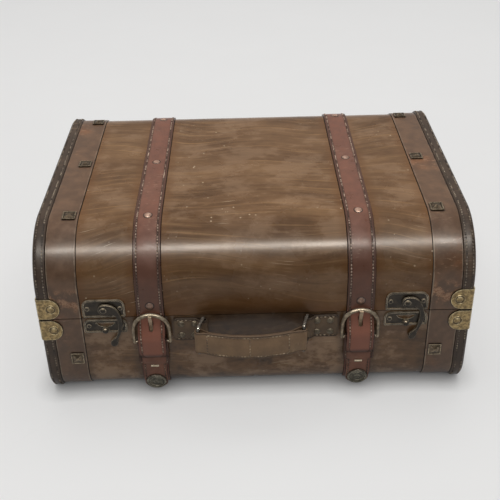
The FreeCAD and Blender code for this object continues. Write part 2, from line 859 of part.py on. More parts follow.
def knuckle_ends():
    """Where the hinge's three knuckles start and end, from its left side."""
    outer = hinge_width * hinge_knuckle_share
    return [(0, outer), (outer, hinge_width - outer), (hinge_width - outer, hinge_width)]


def hinge_leaf(side, up):
    """One leaf: the lid's leaf carries the middle knuckle, the base's leaf the outer two."""
    x = side * hinge_x - hinge_width / 2
    near = seam_height + up * seam_gap / 2
    far = seam_height + up * hinge_leaf_height
    leaf_y = (back_face + glue_gap, back_face + glue_gap + hinge_leaf_thickness)
    leaf = block((x, x + hinge_width), leaf_y, (near, far))
    spans = knuckle_ends()
    own = spans[1:2] if up > 0 else spans[::2]
    other = spans[::2] if up > 0 else spans[1:2]
    for start, end in other:
        gap = hinge_knuckle_radius + running_gap
        leaf = leaf.cut(rod(gap, hinge_axis(x + start - running_gap), hinge_axis(x + end + running_gap)))
    for start, end in own:
        low = x + start + (running_gap / 2 if start else 0)
        high = x + end - (running_gap / 2 if end < hinge_width else 0)
        web_y = (leaf_y[0], back_face + hinge_axis_out)
        web = block((low, high), web_y, (seam_height, seam_height + up * hinge_leaf_thickness))
        leaf = leaf.fuse(rod(hinge_knuckle_radius, hinge_axis(low), hinge_axis(high))).fuse(web)
    bore = hinge_pin_radius + pin_gap
    leaf = leaf.cut(rod(bore, hinge_axis(x - overrun), hinge_axis(x + hinge_width + overrun)))
    return leaf.removeSplitter()


def hinge_pins():
    """A pin through each hinge with a flat head at both ends."""
    pins = []
    for side in sides.values():
        low = side * hinge_x - hinge_width / 2 - glue_gap
        high = side * hinge_x + hinge_width / 2 + glue_gap
        pin = rod(hinge_pin_radius, hinge_axis(low), hinge_axis(high))
        pin = pin.fuse(rod(hinge_pin_head_radius, hinge_axis(low - hinge_pin_head), hinge_axis(low)))
        pins.append(pin.fuse(rod(hinge_pin_head_radius, hinge_axis(high), hinge_axis(high + hinge_pin_head))))
    return pins


def hinge_screws(up):
    """Two screws in each leaf."""
    head = screw_head(hinge_screw_radius, hinge_screw_height)
    out = glue_gap + hinge_leaf_thickness
    screws = []
    for side in sides.values():
        for end in (-1, 1):
            x = side * hinge_x + end * hinge_screw_spacing / 2
            screws.append(face_back(head, x, out, seam_height + up * hinge_screw_from_seam))
    return screws


# Every piece under its own name

nodes = {
    "base_shell": shell(base_form),
    "base_lining": lining(base_form),
    "base_band_studs": base_band_studs(),
    "base_corners": four_corners(base_top - corner_seam_gap - corner_size / 2),
    "clasp_keep_screws": clasp_screws((keep_bottom + seam_height - clasp_seam_gap) / 2),
    "handle_rivets": handle_rivets(),
    "snap_studs": snap_studs(),
    "base_strap_rivets": base_strap_rivets(),
    "hinge_base_leaves": [hinge_leaf(side, -1) for side in sides.values()],
    "hinge_pins": hinge_pins(),
    "hinge_base_screws": hinge_screws(-1),
    "lid_shell": shell(lid_form),
    "lid_lining": lining(lid_form),
    "lid_band_studs": lid_band_studs(),
    "lid_corners": four_corners(lid_bottom + corner_seam_gap + corner_size / 2),
    "clasp_rivets": clasp_rivets(),
    "clasp_plate_screws": clasp_screws(hook_pivot_height),
    "strap_rivets": strap_rivets(),
    "hinge_lid_leaves": [hinge_leaf(side, 1) for side in sides.values()],
    "hinge_lid_screws": hinge_screws(1),
    "handle_grip": handle_grip(),
}
for name, side in sides.items():
    nodes["base_end_" + name] = end_panel(base_form, side)
    nodes["base_band_" + name] = clear_underside(band(base_form, side), case_width)
    nodes["base_edging_" + name] = clear_underside(edging(base_form, side), shell_half + glue_gap)
    nodes["base_strap_" + name] = base_strap(side)
    nodes["clasp_keep_" + name] = clasp_keep(side)
    nodes["handle_tab_" + name] = handle_tab(side)
    nodes["handle_ring_" + name] = handle_ring(side)
    nodes["lid_end_" + name] = end_panel(lid_form, side)
    nodes["lid_band_" + name] = band(lid_form, side)
    nodes["lid_edging_" + name] = edging(lid_form, side)
    nodes["lid_strap_" + name] = lid_strap(side)
    nodes["clasp_plate_" + name] = clasp_plate(side)
    nodes["clasp_hook_" + name] = clasp_hook(side)
    nodes["strap_tail_" + name] = strap_tail(side)
    nodes["buckle_frame_" + name] = buckle_frame(side)
    nodes["buckle_prong_" + name] = buckle_prong(side)
    nodes["buckle_tab_" + name] = buckle_tab(side)
    nodes["snap_cap_" + name] = snap_cap(side)

os.makedirs("parts", exist_ok=True)
for name, shape in nodes.items():
    piece = Part.makeCompound(shape) if isinstance(shape, list) else shape
    piece.exportStep("parts/" + name + ".step")
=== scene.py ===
import math

import bmesh
import bpy
from mathutils import Matrix, Vector


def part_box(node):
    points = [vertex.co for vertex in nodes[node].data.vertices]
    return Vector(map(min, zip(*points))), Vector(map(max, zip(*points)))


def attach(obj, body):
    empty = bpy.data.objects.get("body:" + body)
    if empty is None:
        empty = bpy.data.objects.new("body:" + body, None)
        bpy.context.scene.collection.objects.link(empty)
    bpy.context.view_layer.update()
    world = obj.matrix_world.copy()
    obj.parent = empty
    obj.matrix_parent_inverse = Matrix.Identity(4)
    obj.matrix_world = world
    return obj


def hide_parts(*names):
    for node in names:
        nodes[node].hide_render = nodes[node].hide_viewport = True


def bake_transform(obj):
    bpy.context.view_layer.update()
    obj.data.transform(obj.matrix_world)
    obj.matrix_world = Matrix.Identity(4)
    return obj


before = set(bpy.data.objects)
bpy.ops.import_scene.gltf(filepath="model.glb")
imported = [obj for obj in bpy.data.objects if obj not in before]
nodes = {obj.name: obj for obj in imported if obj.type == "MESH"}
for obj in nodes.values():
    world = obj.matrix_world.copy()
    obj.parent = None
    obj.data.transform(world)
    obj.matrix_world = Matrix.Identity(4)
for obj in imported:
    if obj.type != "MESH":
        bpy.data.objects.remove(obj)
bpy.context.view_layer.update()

scene = bpy.context.scene


# Floor: a pale matt sheet spread out flat under the case and far beyond it.
# It keeps the case's soft shadow and has a painted shadow in its glow round the case; its paleness to the
# eye adds no light to the case.

def tone(red, green, blue):
    """A colour as the eye reads it on a screen, from 0 to 255, for a shader socket."""
    parts = [value / 255 for value in (red, green, blue)]
    linear = [p / 12.92 if p < 0.04045 else ((p + 0.055) / 1.055) ** 2.4 for p in parts]
    return (*linear, 1.0)


class Finish:
    """A surface finish, built node by node: most methods add nodes and give their output."""

    def __init__(self, name):
        self.material = bpy.data.materials.new(name)
        self.material.use_nodes = True
        self.tree = self.material.node_tree
        self.shader = self.tree.nodes["Principled BSDF"]

    def set(self, socket, value):
        if isinstance(value, bpy.types.NodeSocket):
            self.tree.links.new(value, socket)
        else:
            socket.default_value = value

    def add(self, kind, inputs, output=0, **settings):
        node = self.tree.nodes.new("ShaderNode" + kind)
        for key, value in settings.items():
            setattr(node, key, value)
        for key, value in inputs.items():
            self.set(node.inputs[key], value)
        return node.outputs[output]

    def place(self, stretch=(1, 1, 1), at=None):
        """Object coordinates in metres, or others that are given, drawn out along each axis."""
        return self.add("Mapping", {"Vector": at or self.add("TexCoord", {}, "Object"), "Scale": stretch})

    def axis(self, name):
        return self.add("SeparateXYZ", {"Vector": self.place()}, name)

    def noise(self, scale, stretch=(1, 1, 1), detail=4.0, rough=0.6, at=None):
        return self.add("TexNoise", {"Vector": self.place(stretch, at), "Scale": scale, "Detail": detail,
                                     "Roughness": rough})

    def cells(self, scale):
        """How far a point is from the nearest of many scattered spots."""
        return self.add("TexVoronoi", {"Vector": self.place(), "Scale": scale}, "Distance")

    def calc(self, operation, first, second=0.0):
        return self.add("Math", {0: first, 1: second}, operation=operation)

    def times(self, first, second):
        return self.calc("MULTIPLY", first, second)

    def apart(self, first, second):
        return self.calc("ABSOLUTE", self.calc("SUBTRACT", first, second))

    def fade(self, value, start, end, low=0.0, high=1.0):
        """From low to high, eased, while value goes from start to end."""
        return self.add("MapRange", {"Value": value, "From Min": start, "From Max": end, "To Min": low,
                                     "To Max": high}, interpolation_type="SMOOTHSTEP")

    def mix(self, share, first, second):
        return self.add("Mix", {0: share, 6: first, 7: second}, 2, data_type="RGBA")

    def bump(self, height, depth, strength):
        return self.add("Bump", {"Height": height, "Distance": depth, "Strength": strength})

    def open_share(self, reach, samples):
        """How open a point is to the air within a reach, less in corners and next to other parts, where
        painted shade is laid.
        """
        return self.add("AmbientOcclusion", {"Distance": reach}, "AO", samples=samples)

    def look(self, inputs):
        for key, value in inputs.items():
            self.set(self.shader.inputs[key], value)

    def over(self, share, colour):
        """Puts a colour by its share over the finish's own."""
        own = self.shader.inputs["Base Color"].links[0].from_socket
        self.look({"Base Color": self.mix(share, own, colour)})


sharp_angle = math.radians(42)


def piece(name, shape, finishes):
    """A finished mesh under its own name, smooth but for its sharp edges."""
    mesh = bpy.data.meshes.new(name)
    shape.to_mesh(mesh)
    shape.free()
    for finish in finishes:
        mesh.materials.append(finish.material)
    mesh.polygons.foreach_set("use_smooth", [True] * len(mesh.polygons))
    mesh.set_sharp_from_angle(angle=sharp_angle)
    made = bpy.data.objects.new(name, mesh)
    scene.collection.objects.link(made)
    return made


floor_half, floor_drop = 60.0, 0.0003
floor_glow, floor_painted_shadow_reach = 0.50, 0.024
floor_grey, floor_pale = tone(150, 149, 147), tone(156, 155, 153)
sheet = bmesh.new()
bmesh.ops.create_grid(sheet, x_segments=1, y_segments=1, size=floor_half,
                      matrix=Matrix.Translation((0, 0, -floor_drop)))
paper = Finish("pale sheet")
fibres = paper.noise(5.0, detail=3.0)
seen = [paper.add("LightPath", {}, ray) for ray in ("Is Camera Ray", "Is Glossy Ray", "Is Transmission Ray")]
seen = paper.calc("MAXIMUM", paper.calc("MAXIMUM", seen[0], seen[1]), seen[2])
# Painted shadow: the glow is dimmed where the floor is closed in near the case.
glow = paper.times(paper.times(seen, paper.open_share(floor_painted_shadow_reach, 8)), floor_glow)
paper.look({"Base Color": paper.mix(fibres, floor_grey, floor_pale), "Roughness": 0.9,
            "Specular IOR Level": 0.1, "Emission Color": (1, 1, 1, 1), "Emission Strength": glow})
floor = piece("floor", sheet, [paper])


# Studio light: a long lamp above the camera only draws the bright line along the lid's front edge.
# A soft lamp below it lights the front, and a broad lamp overhead the top and the floor.
# The room is dim towards the camera and pale behind the case, where the lid's top mirrors it.
lamp_aim = Vector((0, -0.156, 0.175))
lamp_warm, lamp_white = (1.0, 0.94, 0.85), (1, 1, 1)
room_dim, room_pale, room_turn = 0.06, 0.28, 0.7
for name, place, width, depth, power, mirrored in (
        ("long lamp", (0, -1.12, 1.71), 2.4, 0.20, 52.0, True),
        ("front lamp", (0, -1.45, 1.30), 2.4, 0.60, 6.4, False),
        ("overhead lamp", (0, 0.35, 2.3), 2.4, 2.4, 50.0, False)):
    lamp_data = bpy.data.lights.new(name, "AREA")
    lamp_data.shape = "RECTANGLE"
    lamp_data.size, lamp_data.size_y = width, depth
    lamp_data.energy = power
    lamp_data.color = lamp_warm if mirrored else lamp_white
    lamp = bpy.data.objects.new(name, lamp_data)
    lamp.location = place
    lamp.rotation_euler = (lamp_aim - lamp.location).to_track_quat("-Z", "Y").to_euler()
    lamp.visible_glossy = mirrored
    lamp.visible_diffuse = not mirrored
    scene.collection.objects.link(lamp)
room = bpy.data.worlds.new("room")
room.use_nodes = True
scene.world = room
sky = room.node_tree
facing = sky.nodes.new("ShaderNodeSeparateXYZ")
sky.links.new(sky.nodes.new("ShaderNodeTexCoord").outputs["Generated"], facing.inputs[0])
brightness = sky.nodes.new("ShaderNodeMapRange")
brightness.interpolation_type = "SMOOTHSTEP"
brightness.inputs["From Max"].default_value = room_turn
brightness.inputs["To Min"].default_value = room_dim
brightness.inputs["To Max"].default_value = room_pale
sky.links.new(facing.outputs["Y"], brightness.inputs["Value"])
sky.nodes["Background"].inputs["Color"].default_value = (1, 1, 1, 1)
sky.links.new(brightness.outputs[0], sky.nodes["Background"].inputs["Strength"])


# Camera: stands in front of the case and above it, at the photograph's viewing angle.
# Its place, turn and lens come from fitting the case's corners to the photograph.
camera_place = (-0.00875, -0.9077, 0.6372)
camera_yaw, camera_pitch, camera_roll = 0.006, 0.559, -0.022
camera_lens = 62.7
ahead = Vector((math.sin(camera_yaw) * math.cos(camera_pitch), math.cos(camera_yaw) * math.cos(camera_pitch),
                -math.sin(camera_pitch)))
right = Vector((math.cos(camera_yaw), -math.sin(camera_yaw), 0))
camera_turn = Matrix((right, right.cross(ahead), -ahead)).transposed() @ Matrix.Rotation(camera_roll, 3, "Z")
camera = bpy.data.objects.new("camera", bpy.data.cameras.new("camera"))
camera.data.lens = camera_lens
camera.matrix_world = Matrix.LocRotScale(camera_place, camera_turn, None)
scene.collection.objects.link(camera)
scene.camera = camera
scene.view_settings.view_transform = "Standard"


# Lid and base: bent plywood with a brown stained veneer, its grain along the case, under a satin varnish.
# The stain is dark beside the straps, the bands and the seam, a thin line of dark stain and painted shadow
# runs where leather meets the wood, and the varnish is nicked with use.
# The base's front is painted darker under the grip as its shadow, and the end boards are plain plywood of
# the same stain.
shell_low, shell_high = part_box("base_shell")
case_front, case_back, base_rim = shell_low.y, shell_high.y, shell_high.z
lid_low, lid_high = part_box("lid_shell")
lid_foot, lid_top = lid_low.z, lid_high.z
seam = (base_rim + lid_foot) / 2
strap_x, strap_half = 0.109, 0.014
band_inner = 0.1814
wood_light, wood_mid, wood_dark = tone(138, 104, 70), tone(117, 85, 55), tone(96, 67, 40)
wood_shade, wood_gap_stain_and_shadow = tone(78, 56, 35), tone(20, 14, 10)
wood_nick, wood_grey, wood_amber = tone(214, 192, 160), tone(168, 136, 106), tone(114, 75, 39)
wood_streak, wood_grip_shadow = tone(172, 132, 86), tone(46, 36, 28)
grain_sway, ring_count = 0.026, 28.0
seam_stain, leather_stain, gap_stain_and_shadow_width = 0.036, 0.012, 0.0008
grip_level, grip_shadow_high, grip_shadow_wide = seam - 0.012, 0.028, 0.070
varnish_whole, varnish_worn = seam + 0.050, seam + 0.015


def stained(name, grain, level, soil, varnish, stain_colour, varnish_left=1.0):
    """Stained veneer, its grain along one axis and counted across over the face at a level."""
    wood = Finish(name)
    is_shell = grain == "X"
    height = wood.axis("Z")
    across = wood.apart(height, level)
    if is_shell:
        across = wood.times(across, wood.calc("SIGN", wood.axis("Y")))
        across = wood.calc("ADD", across, wood.axis("Y"))
    sway = wood.fade(wood.noise(4.5, detail=1.0), 0.2, 0.8, -grain_sway, grain_sway)
    flat = wood.add("CombineXYZ", {"X": wood.axis(grain), "Y": wood.calc("ADD", across, sway)})

    def drawn_out(along_grain, across_grain, detail, rough=0.6):
        return wood.noise(1.0, (along_grain, across_grain, 1), detail, rough, flat)

    clouds = drawn_out(6, 17, detail=5.0)
    streaks = drawn_out(9, 170, detail=6.0, rough=0.62)
    long_streaks = drawn_out(4, 260, detail=4.0)
    pores = drawn_out(60, 1500, detail=2.0)
    rings = wood.calc("SINE", wood.times(drawn_out(1.7, 12, detail=1.0), ring_count))
    lines = wood.fade(wood.calc("ABSOLUTE", rings), 0.14, 0.0)
    patches = wood.noise(11.0, detail=5.0)
    smudges = wood.noise(1.0, (21, 30, 30), detail=6.0, rough=0.66)
    skin = wood.mix(wood.fade(clouds, 0.34, 0.50), wood_dark, wood_mid)
    skin = wood.mix(wood.fade(clouds, 0.48, 0.70), skin, wood_light)
    skin = wood.mix(wood.fade(streaks, 0.48, 0.68, 0.0, 0.7), skin, wood_light)
    skin = wood.mix(wood.fade(streaks, 0.48, 0.32, 0.0, 0.65), skin, wood_dark)
    skin = wood.mix(wood.times(lines, wood.fade(patches, 0.42, 0.62, 0.0, 0.5)), skin, wood_light)
    skin = wood.mix(wood.fade(pores, 0.56, 0.70, 0.0, 0.3), skin, wood_shade)
    skin = wood.mix(wood.fade(long_streaks, 0.56, 0.72, 0.0, 0.75), skin, wood_streak)
    skin = wood.mix(wood.fade(smudges, 0.47, 0.33, 0.0, soil), skin, wood_shade)
    skin = wood.mix(wood.fade(smudges, 0.47, 0.60, 0.0, soil), skin, wood_grey)
    stain = wood.fade(wood.apart(height, seam), seam_stain, 0.002, 0.0, 0.85)
    if is_shell:
        aside = wood.calc("ABSOLUTE", wood.axis("X"))
        from_strap = wood.calc("SUBTRACT", wood.apart(aside, strap_x), strap_half)
        from_band = wood.calc("SUBTRACT", band_inner, aside)
        beside = wood.calc("MINIMUM", from_strap, from_band)
        stain = wood.calc("MAXIMUM", stain, wood.fade(beside, leather_stain, 0.001, 0.0, 0.6))
    stain = wood.times(stain, wood.fade(patches, 0.30, 0.62, 0.45, 1.0))
    skin = wood.mix(stain, skin, stain_colour)
    if is_shell:
        # Painted shadow of the grip: the base's front is darkened under it.
        grip_shadow = wood.fade(wood.apart(height, grip_level), grip_shadow_high, 0.012)
        grip_shadow = wood.times(grip_shadow, wood.fade(aside, grip_shadow_wide, 0.050))
        grip_shadow = wood.times(grip_shadow, wood.fade(wood.axis("Y"), 0.0, -0.02, 0.0, 0.5))
        skin = wood.mix(grip_shadow, skin, wood_grip_shadow)
        # A thin line where leather meets wood: dark stain and painted shadow, without varnish.
        gap_stain_and_shadow = wood.fade(wood.calc("ABSOLUTE", beside), gap_stain_and_shadow_width, 0.0003)
        skin = wood.mix(gap_stain_and_shadow, skin, wood_gap_stain_and_shadow)
        varnish = wood.fade(gap_stain_and_shadow, 0.0, 1.0, varnish, 0.0)
        varnish = wood.times(varnish, wood.fade(height, varnish_whole, varnish_worn, 1.0, varnish_left))
    nicks = wood.fade(wood.cells(95.0), 0.11, 0.07)
    scratches = wood.fade(drawn_out(22, 800, detail=2.0), 0.65, 0.74)
    worn = wood.calc("MAXIMUM", scratches, nicks)
    worn = wood.times(worn, wood.fade(patches, 0.50, 0.62, 0.0, 0.7))
    wood.look({"Base Color": wood.mix(worn, skin, wood_nick),
               "Roughness": wood.fade(patches, 0.3, 0.7, 0.28, 0.38),
               "Specular IOR Level": 0.1, "Coat Weight": varnish,
               "Coat Roughness": wood.fade(patches, 0.3, 0.7, 0.22, 0.30),
               "Normal": wood.bump(streaks, 0.0003, 0.25)})
    return wood


def coat(finish, *names):
    """Gives solid pieces their finish."""
    for name in names:
        for slot in nodes[name].material_slots:
            slot.material = finish.material


def both(*names):
    """The names of pieces that stand left and right."""
    return [name + side for name in names for side in ("_left", "_right")]


coat(stained("lid veneer", "X", level=lid_top, soil=0.30, varnish=0.6, stain_colour=wood_amber,
             varnish_left=0.4), "lid_shell")
coat(stained("base veneer", "X", level=0.0, soil=1.0, varnish=0.6, stain_colour=wood_shade), "base_shell")
coat(stained("end board", "Y", level=0.0, soil=0.5, varnish=0.5, stain_colour=wood_shade),
     *both("lid_end", "base_end"))


# Linings: plain woven cotton glued inside lid and base, faded in places.
# Each is one sheet cut to a cross, bent round the inside of the shell and folded up at the ends.

def rounded(shape, geom, radius, affect="EDGES", segments=3):
    """Rounds some edges or corners of a shape."""
    bmesh.ops.bevel(shape, geom=geom, offset=radius, offset_type="OFFSET", segments=segments, profile=0.5,
                    affect=affect, material=-1)


def fix(made, body, slot, *stands_for):
    """Rides on a body and may stand for plain solids, which it hides. Its slot is not used."""
    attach(made, body)
    if stands_for:
        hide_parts(*stands_for)


lining_thickness, weave_pitch = 0.001, 0.0013
base_lining_bend, lid_lining_bend, lining_steps = 0.0238, 0.0538, 12
cloth_brown, cloth_faded = tone(128, 104, 80), tone(152, 128, 100)
cloth_slub, cloth_gap = tone(176, 152, 122), tone(88, 70, 53)
touching, same_place = 1e-5, 1e-6
cotton = Finish("lining cotton")
threads = [cotton.calc("SINE", cotton.times(cotton.axis(name), 2 * math.pi / weave_pitch))
           for name in ("X", "Y", "Z")]
weave = cotton.calc("ADD", cotton.calc("ADD", threads[0], threads[1]), threads[2])
slub = cotton.noise(1.0, (60, 700, 700), detail=2.0)
faded = cotton.noise(7.0, detail=4.0)
cloth = cotton.mix(cotton.fade(faded, 0.35, 0.7), cloth_brown, cloth_faded)
cloth = cotton.mix(cotton.fade(slub, 0.55, 0.7, 0.0, 0.3), cloth, cloth_slub)
cloth = cotton.mix(cotton.fade(weave, 0.0, -2.0, 0.0, 0.5), cloth, cloth_gap)
cotton.look({"Base Color": cloth, "Roughness": 0.9, "Sheen Weight": 0.15,
             "Normal": cotton.bump(weave, 0.00015, 0.6)})
for body, sign, bend in (("base", -1, base_lining_bend), ("lid", 1, lid_lining_bend)):
    low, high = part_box(body + "_lining")
    size = high - low
    closed = high.z if sign > 0 else low.z
    sheet = bmesh.new()
    bmesh.ops.create_cube(sheet, size=1, matrix=Matrix.LocRotScale((low + high) / 2, None, size))
    mouth = [f for f in sheet.faces if f.normal.z * sign < -0.5]
    bmesh.ops.delete(sheet, geom=mouth, context="FACES_ONLY")
    folds = [e for e in sheet.edges if all(abs(v.co.z - closed) < touching for v in e.verts)
             and abs(e.verts[0].co.x - e.verts[1].co.x) > size.x / 2]
    rounded(sheet, folds, bend, segments=lining_steps)
    bmesh.ops.recalc_face_normals(sheet, faces=sheet.faces)
    bmesh.ops.solidify(sheet, geom=sheet.faces[:], thickness=lining_thickness)
    made = piece(body + "_lining_cloth", sheet, [cotton])
    fix(made, body, "lining_cloth", body + "_lining")


# Leather bands: one thin strip beside each edging, glued over the lid and down both sides of the base.
# The leather is grey brown, rubbed orange in places, with a dark edge towards the wood.

def route(points, bends):
    """Straight runs between points, each inner corner rounded to its bend radius, as a list of legs."""
    points = [Vector(p) for p in points]
    legs = []
    start = points[0]
    for corner, after, bend in zip(points[1:], points[2:], bends):
        ahead = (corner - start).normalized()
        onward = (after - corner).normalized()
        turn = math.atan2(ahead.cross(onward), ahead.dot(onward))
        trim = bend * math.tan(abs(turn) / 2)
        legs.append((start, ahead, (corner - start).length - trim, 0.0))
        legs.append((corner - ahead * trim, ahead, bend * abs(turn), turn))
        start = corner + onward * trim
    last = points[-1] - start
    legs.append((start, last.normalized(), last.length, 0.0))
    return legs


def reach(legs):
    """A route's whole length."""
    return sum(length for start, ahead, length, turn in legs)


def along(legs, distance):
    """The point at a distance along a route, and which way its left side faces."""
    for start, ahead, length, turn in legs:
        if distance <= length:
            break
        distance -= length
    else:
        distance += length
    if turn:
        swing = Matrix.Rotation(turn * distance / length, 2)
        inward = Vector((-ahead.y, ahead.x)) * (length / turn)
        start = start + inward - swing @ inward
        ahead = swing @ ahead
        distance = 0
    return start + ahead * distance, Vector((-ahead.y, ahead.x))


def cuts_for(legs, turn_step=0.1, run_step=0.012):
    """Distances where a strip needs a cross cut to follow a route."""
    cuts = []
    done = 0.0
    for start, ahead, length, turn in legs:
        count = max(1, math.ceil(max(abs(turn) / turn_step, length / run_step)))
        cuts += [done + length * i / count for i in range(count)]
        done += length
    return cuts


def strip(corners, rounds, length, cuts):
    """A flat strip along +Y with a cross-section of (x, z) corners, each rounded, and cross cuts."""
    shape = bmesh.new()
    verts = [shape.verts.new((x, 0, z)) for x, z in corners]
    shape.faces.new(verts)
    for vert, radius in zip(verts, rounds):
        if radius:
            rounded(shape, [vert], radius, affect="VERTICES")
    end = shape.faces[:]
    done = 0.0
    for cut in sorted(cuts) + [length]:
        if touching < cut <= length and cut - done > touching:
            grown = bmesh.ops.extrude_face_region(shape, geom=end)["geom"]
            if done:
                bmesh.ops.delete(shape, geom=end, context="FACES_ONLY")
            end = [g for g in grown if isinstance(g, bmesh.types.BMFace)]
            bmesh.ops.translate(shape, verts=end[0].verts, vec=(0, cut - done, 0))
            done = cut
    bmesh.ops.recalc_face_normals(shape, faces=shape.faces)
    return shape


cut_edge, groove_wide, groove_deep = 0.0007, 0.0007, 0.00035


def leather_section(half, thickness, groove_in=0.0):
    """Corners and roundings of a leather strip's cross-section, with a stitching groove near each edge."""
    top = thickness / 2
    edge = min(cut_edge, thickness * 0.4)
    corners = [(-half, -top), (half, -top), (half, top)]
    rounds = [0, 0, edge]
    if groove_in:
        groove, low = half - groove_in, top - groove_deep
        corners += [(groove + groove_wide, top), (groove, low), (groove - groove_wide, top)]
        corners += [(groove_wide - groove, top), (-groove, low), (-groove - groove_wide, top)]
        rounds += [0] * 6
    return corners + [(-half, top)], rounds + [edge]


def lay(shape, legs, half, centre=0.0, offset=0.0):
    """Bends a flat strip along a route. Its flat map keeps the share across and the length along."""
    flat = shape.loops.layers.uv.new("flat")
    for face in shape.faces:
        for loop in face.loops:
            loop[flat].uv = (loop.vert.co.x / half, loop.vert.co.y)
    for vert in shape.verts:
        point, out = along(legs, vert.co.y + offset)
        point = point + out * vert.co.z
        vert.co = (vert.co.x + centre, point.x, point.y)
    return shape


def joined(*shapes):
    """Several shapes as one."""
    whole = bmesh.new()
    for shape in shapes:
        mesh = bpy.data.meshes.new("part")
        shape.to_mesh(mesh)
        shape.free()
        whole.from_mesh(mesh)
        bpy.data.meshes.remove(mesh)
    return whole


# Corners within this reach take this colour, as dirt and painted shade.
dirt_and_shade_reach, dirt_and_shade_colour = 0.0022, tone(42, 31, 26)
scuff_colour, rim_colour = tone(222, 190, 158), tone(168, 148, 126)
hand_level, hand_reach = seam + 0.022, 0.018
rivet_ring, rivet_head = 0.0054, 0.0044
rim_from, rim_full = lid_top - 0.004, lid_top - 0.030
front_shade_from, front_shade_full = lid_top - 0.008, lid_top - 0.036
bare_from, bare_full = seam + 0.012, seam - 0.006
raised_from, raised_full = case_front - 0.003, case_front - 0.005


def leather(name, colour, edge_colour, wear_colour, wear, rough, edge_from, wax=0.0, rim=0.0, handled=0.0,
            bare_colour=None, end_shadow=None, rivets=(), corner_dirt_and_shade=0.85):
    """Smooth grained leather, dark at its edges, grimy and painted darker as shade in corners, scuffed in
    patches and where it is handled.

    It may be pale at its rims, painted darker as shade below the lid's top, bare of wax below the seam, and
    painted darker as shade round rivets and at a strap's end.
    """
    hide = Finish(name)
    flat = hide.add("UVMap", {}, uv_map="flat")
    across = hide.calc("ABSOLUTE", hide.add("SeparateXYZ", {"Vector": flat}, "X"))
    height = hide.axis("Z")
    patches = hide.noise(14.0, detail=5.0)
    mottle = hide.noise(75.0, detail=4.0)
    grain = hide.calc("ADD", hide.cells(850.0), hide.noise(420.0, detail=2.0))
    skin = hide.mix(hide.fade(patches, 0.52, 0.72, 0.0, wear), colour, wear_colour)
    skin = hide.mix(hide.fade(mottle, 0.35, 0.7, 0.35, 0.0), skin, edge_colour)
    scuffs = hide.fade(hide.noise(1.0, (2.0, 420, 1), detail=3.0, at=flat), 0.56, 0.70)
    scuffs = hide.times(scuffs, hide.fade(patches, 0.50, 0.64, 0.0, wear))
    if handled:
        touched = hide.fade(hide.apart(height, hand_level), hand_reach, 0.003)
        touched = hide.times(touched, hide.fade(mottle, 0.42, 0.58, 0.0, handled))
        skin = hide.mix(touched, skin, wear_colour)
        scuffs = hide.calc("MAXIMUM", scuffs, hide.times(touched, hide.fade(grain, 0.75, 1.05)))
    skin = hide.mix(scuffs, skin, hide.mix(0.5, wear_colour, scuff_colour))
    if rim:
        rims = hide.fade(across, edge_from - 0.09, edge_from - 0.03)
        rims = hide.times(rims, hide.fade(mottle, 0.35, 0.6, 0.2, rim))
        rims = hide.times(rims, hide.fade(height, rim_from, rim_full, 0.3, 1.0))
        skin = hide.mix(rims, skin, rim_colour)
    border = hide.fade(across, edge_from, edge_from + 0.03, 0.0, 0.85)
    if bare_colour:
        # Painted shade: the leather is darker below the lid's top bend, where it turns away from the light.
        soiled = hide.fade(height, front_shade_from, front_shade_full, 0.0, 0.4)
        skin = hide.mix(soiled, skin, edge_colour)
        bared = hide.fade(height, bare_from, bare_full)
        skin = hide.mix(bared, skin, hide.mix(0.25, bare_colour, skin))
        wax = hide.times(wax, hide.fade(bared, 0.0, 1.0, 1.0, 0.15))
        border = hide.times(border, hide.fade(bared, 0.0, 1.0, 1.0, 0.6))
    skin = hide.mix(border, skin, edge_colour)
    # Dirt and painted shade darken the leather in corners, stitch grooves and beside other parts.
    corners = hide.fade(hide.open_share(dirt_and_shade_reach, 6), 0.93, 0.68, 0.0, corner_dirt_and_shade)
    skin = hide.mix(corners, skin, dirt_and_shade_colour)
    # Painted shadow: a strap's lower end and the tab just under it are darkened where they stand off the
    # front.
    if end_shadow:
        end_shadow_height, end_shadow_reach = end_shadow
        end_shadow_mask = hide.fade(hide.apart(height, end_shadow_height), end_shadow_reach, 0.0, 0.0, 0.75)
        raised = hide.fade(hide.axis("Y"), raised_from, raised_full)
        skin = hide.mix(hide.times(end_shadow_mask, raised), skin, dirt_and_shade_colour)
    # Dirt and painted shade in a ring round each rivet's head, where it meets the leather.
    if rivets:
        aside = hide.calc("ABSOLUTE", hide.axis("X"))
        spot = hide.add("CombineXYZ", {"X": aside, "Y": hide.axis("Y"), "Z": height})
        nearest = 1.0
        for place in rivets:
            away = hide.add("VectorMath", {0: spot, 1: place}, "Value", operation="DISTANCE")
            nearest = hide.calc("MINIMUM", nearest, away)
        skin = hide.mix(hide.fade(nearest, rivet_ring, rivet_head, 0.0, 0.9), skin, dirt_and_shade_colour)
    hide.look({"Base Color": skin, "Roughness": hide.fade(mottle, 0.3, 0.7, rough - 0.06, rough + 0.1),
               "Specular IOR Level": 0.22, "Coat Weight": wax, "Coat Roughness": rough - 0.1,
               "Normal": hide.bump(grain, 0.00012, 0.5)})
    return hide


lid_bend, base_bend = 0.060, 0.030
glue = 0.0001
under_stop = math.radians(28)


def over_lid(out):
    """The way over the lid at a distance out from the wood, from the front seam to the back seam."""
    front, back, top = case_front - out, case_back + out, lid_top + out
    return route([(front, lid_foot), (front, top), (back, top), (back, lid_foot)], [lid_bend + out] * 2)


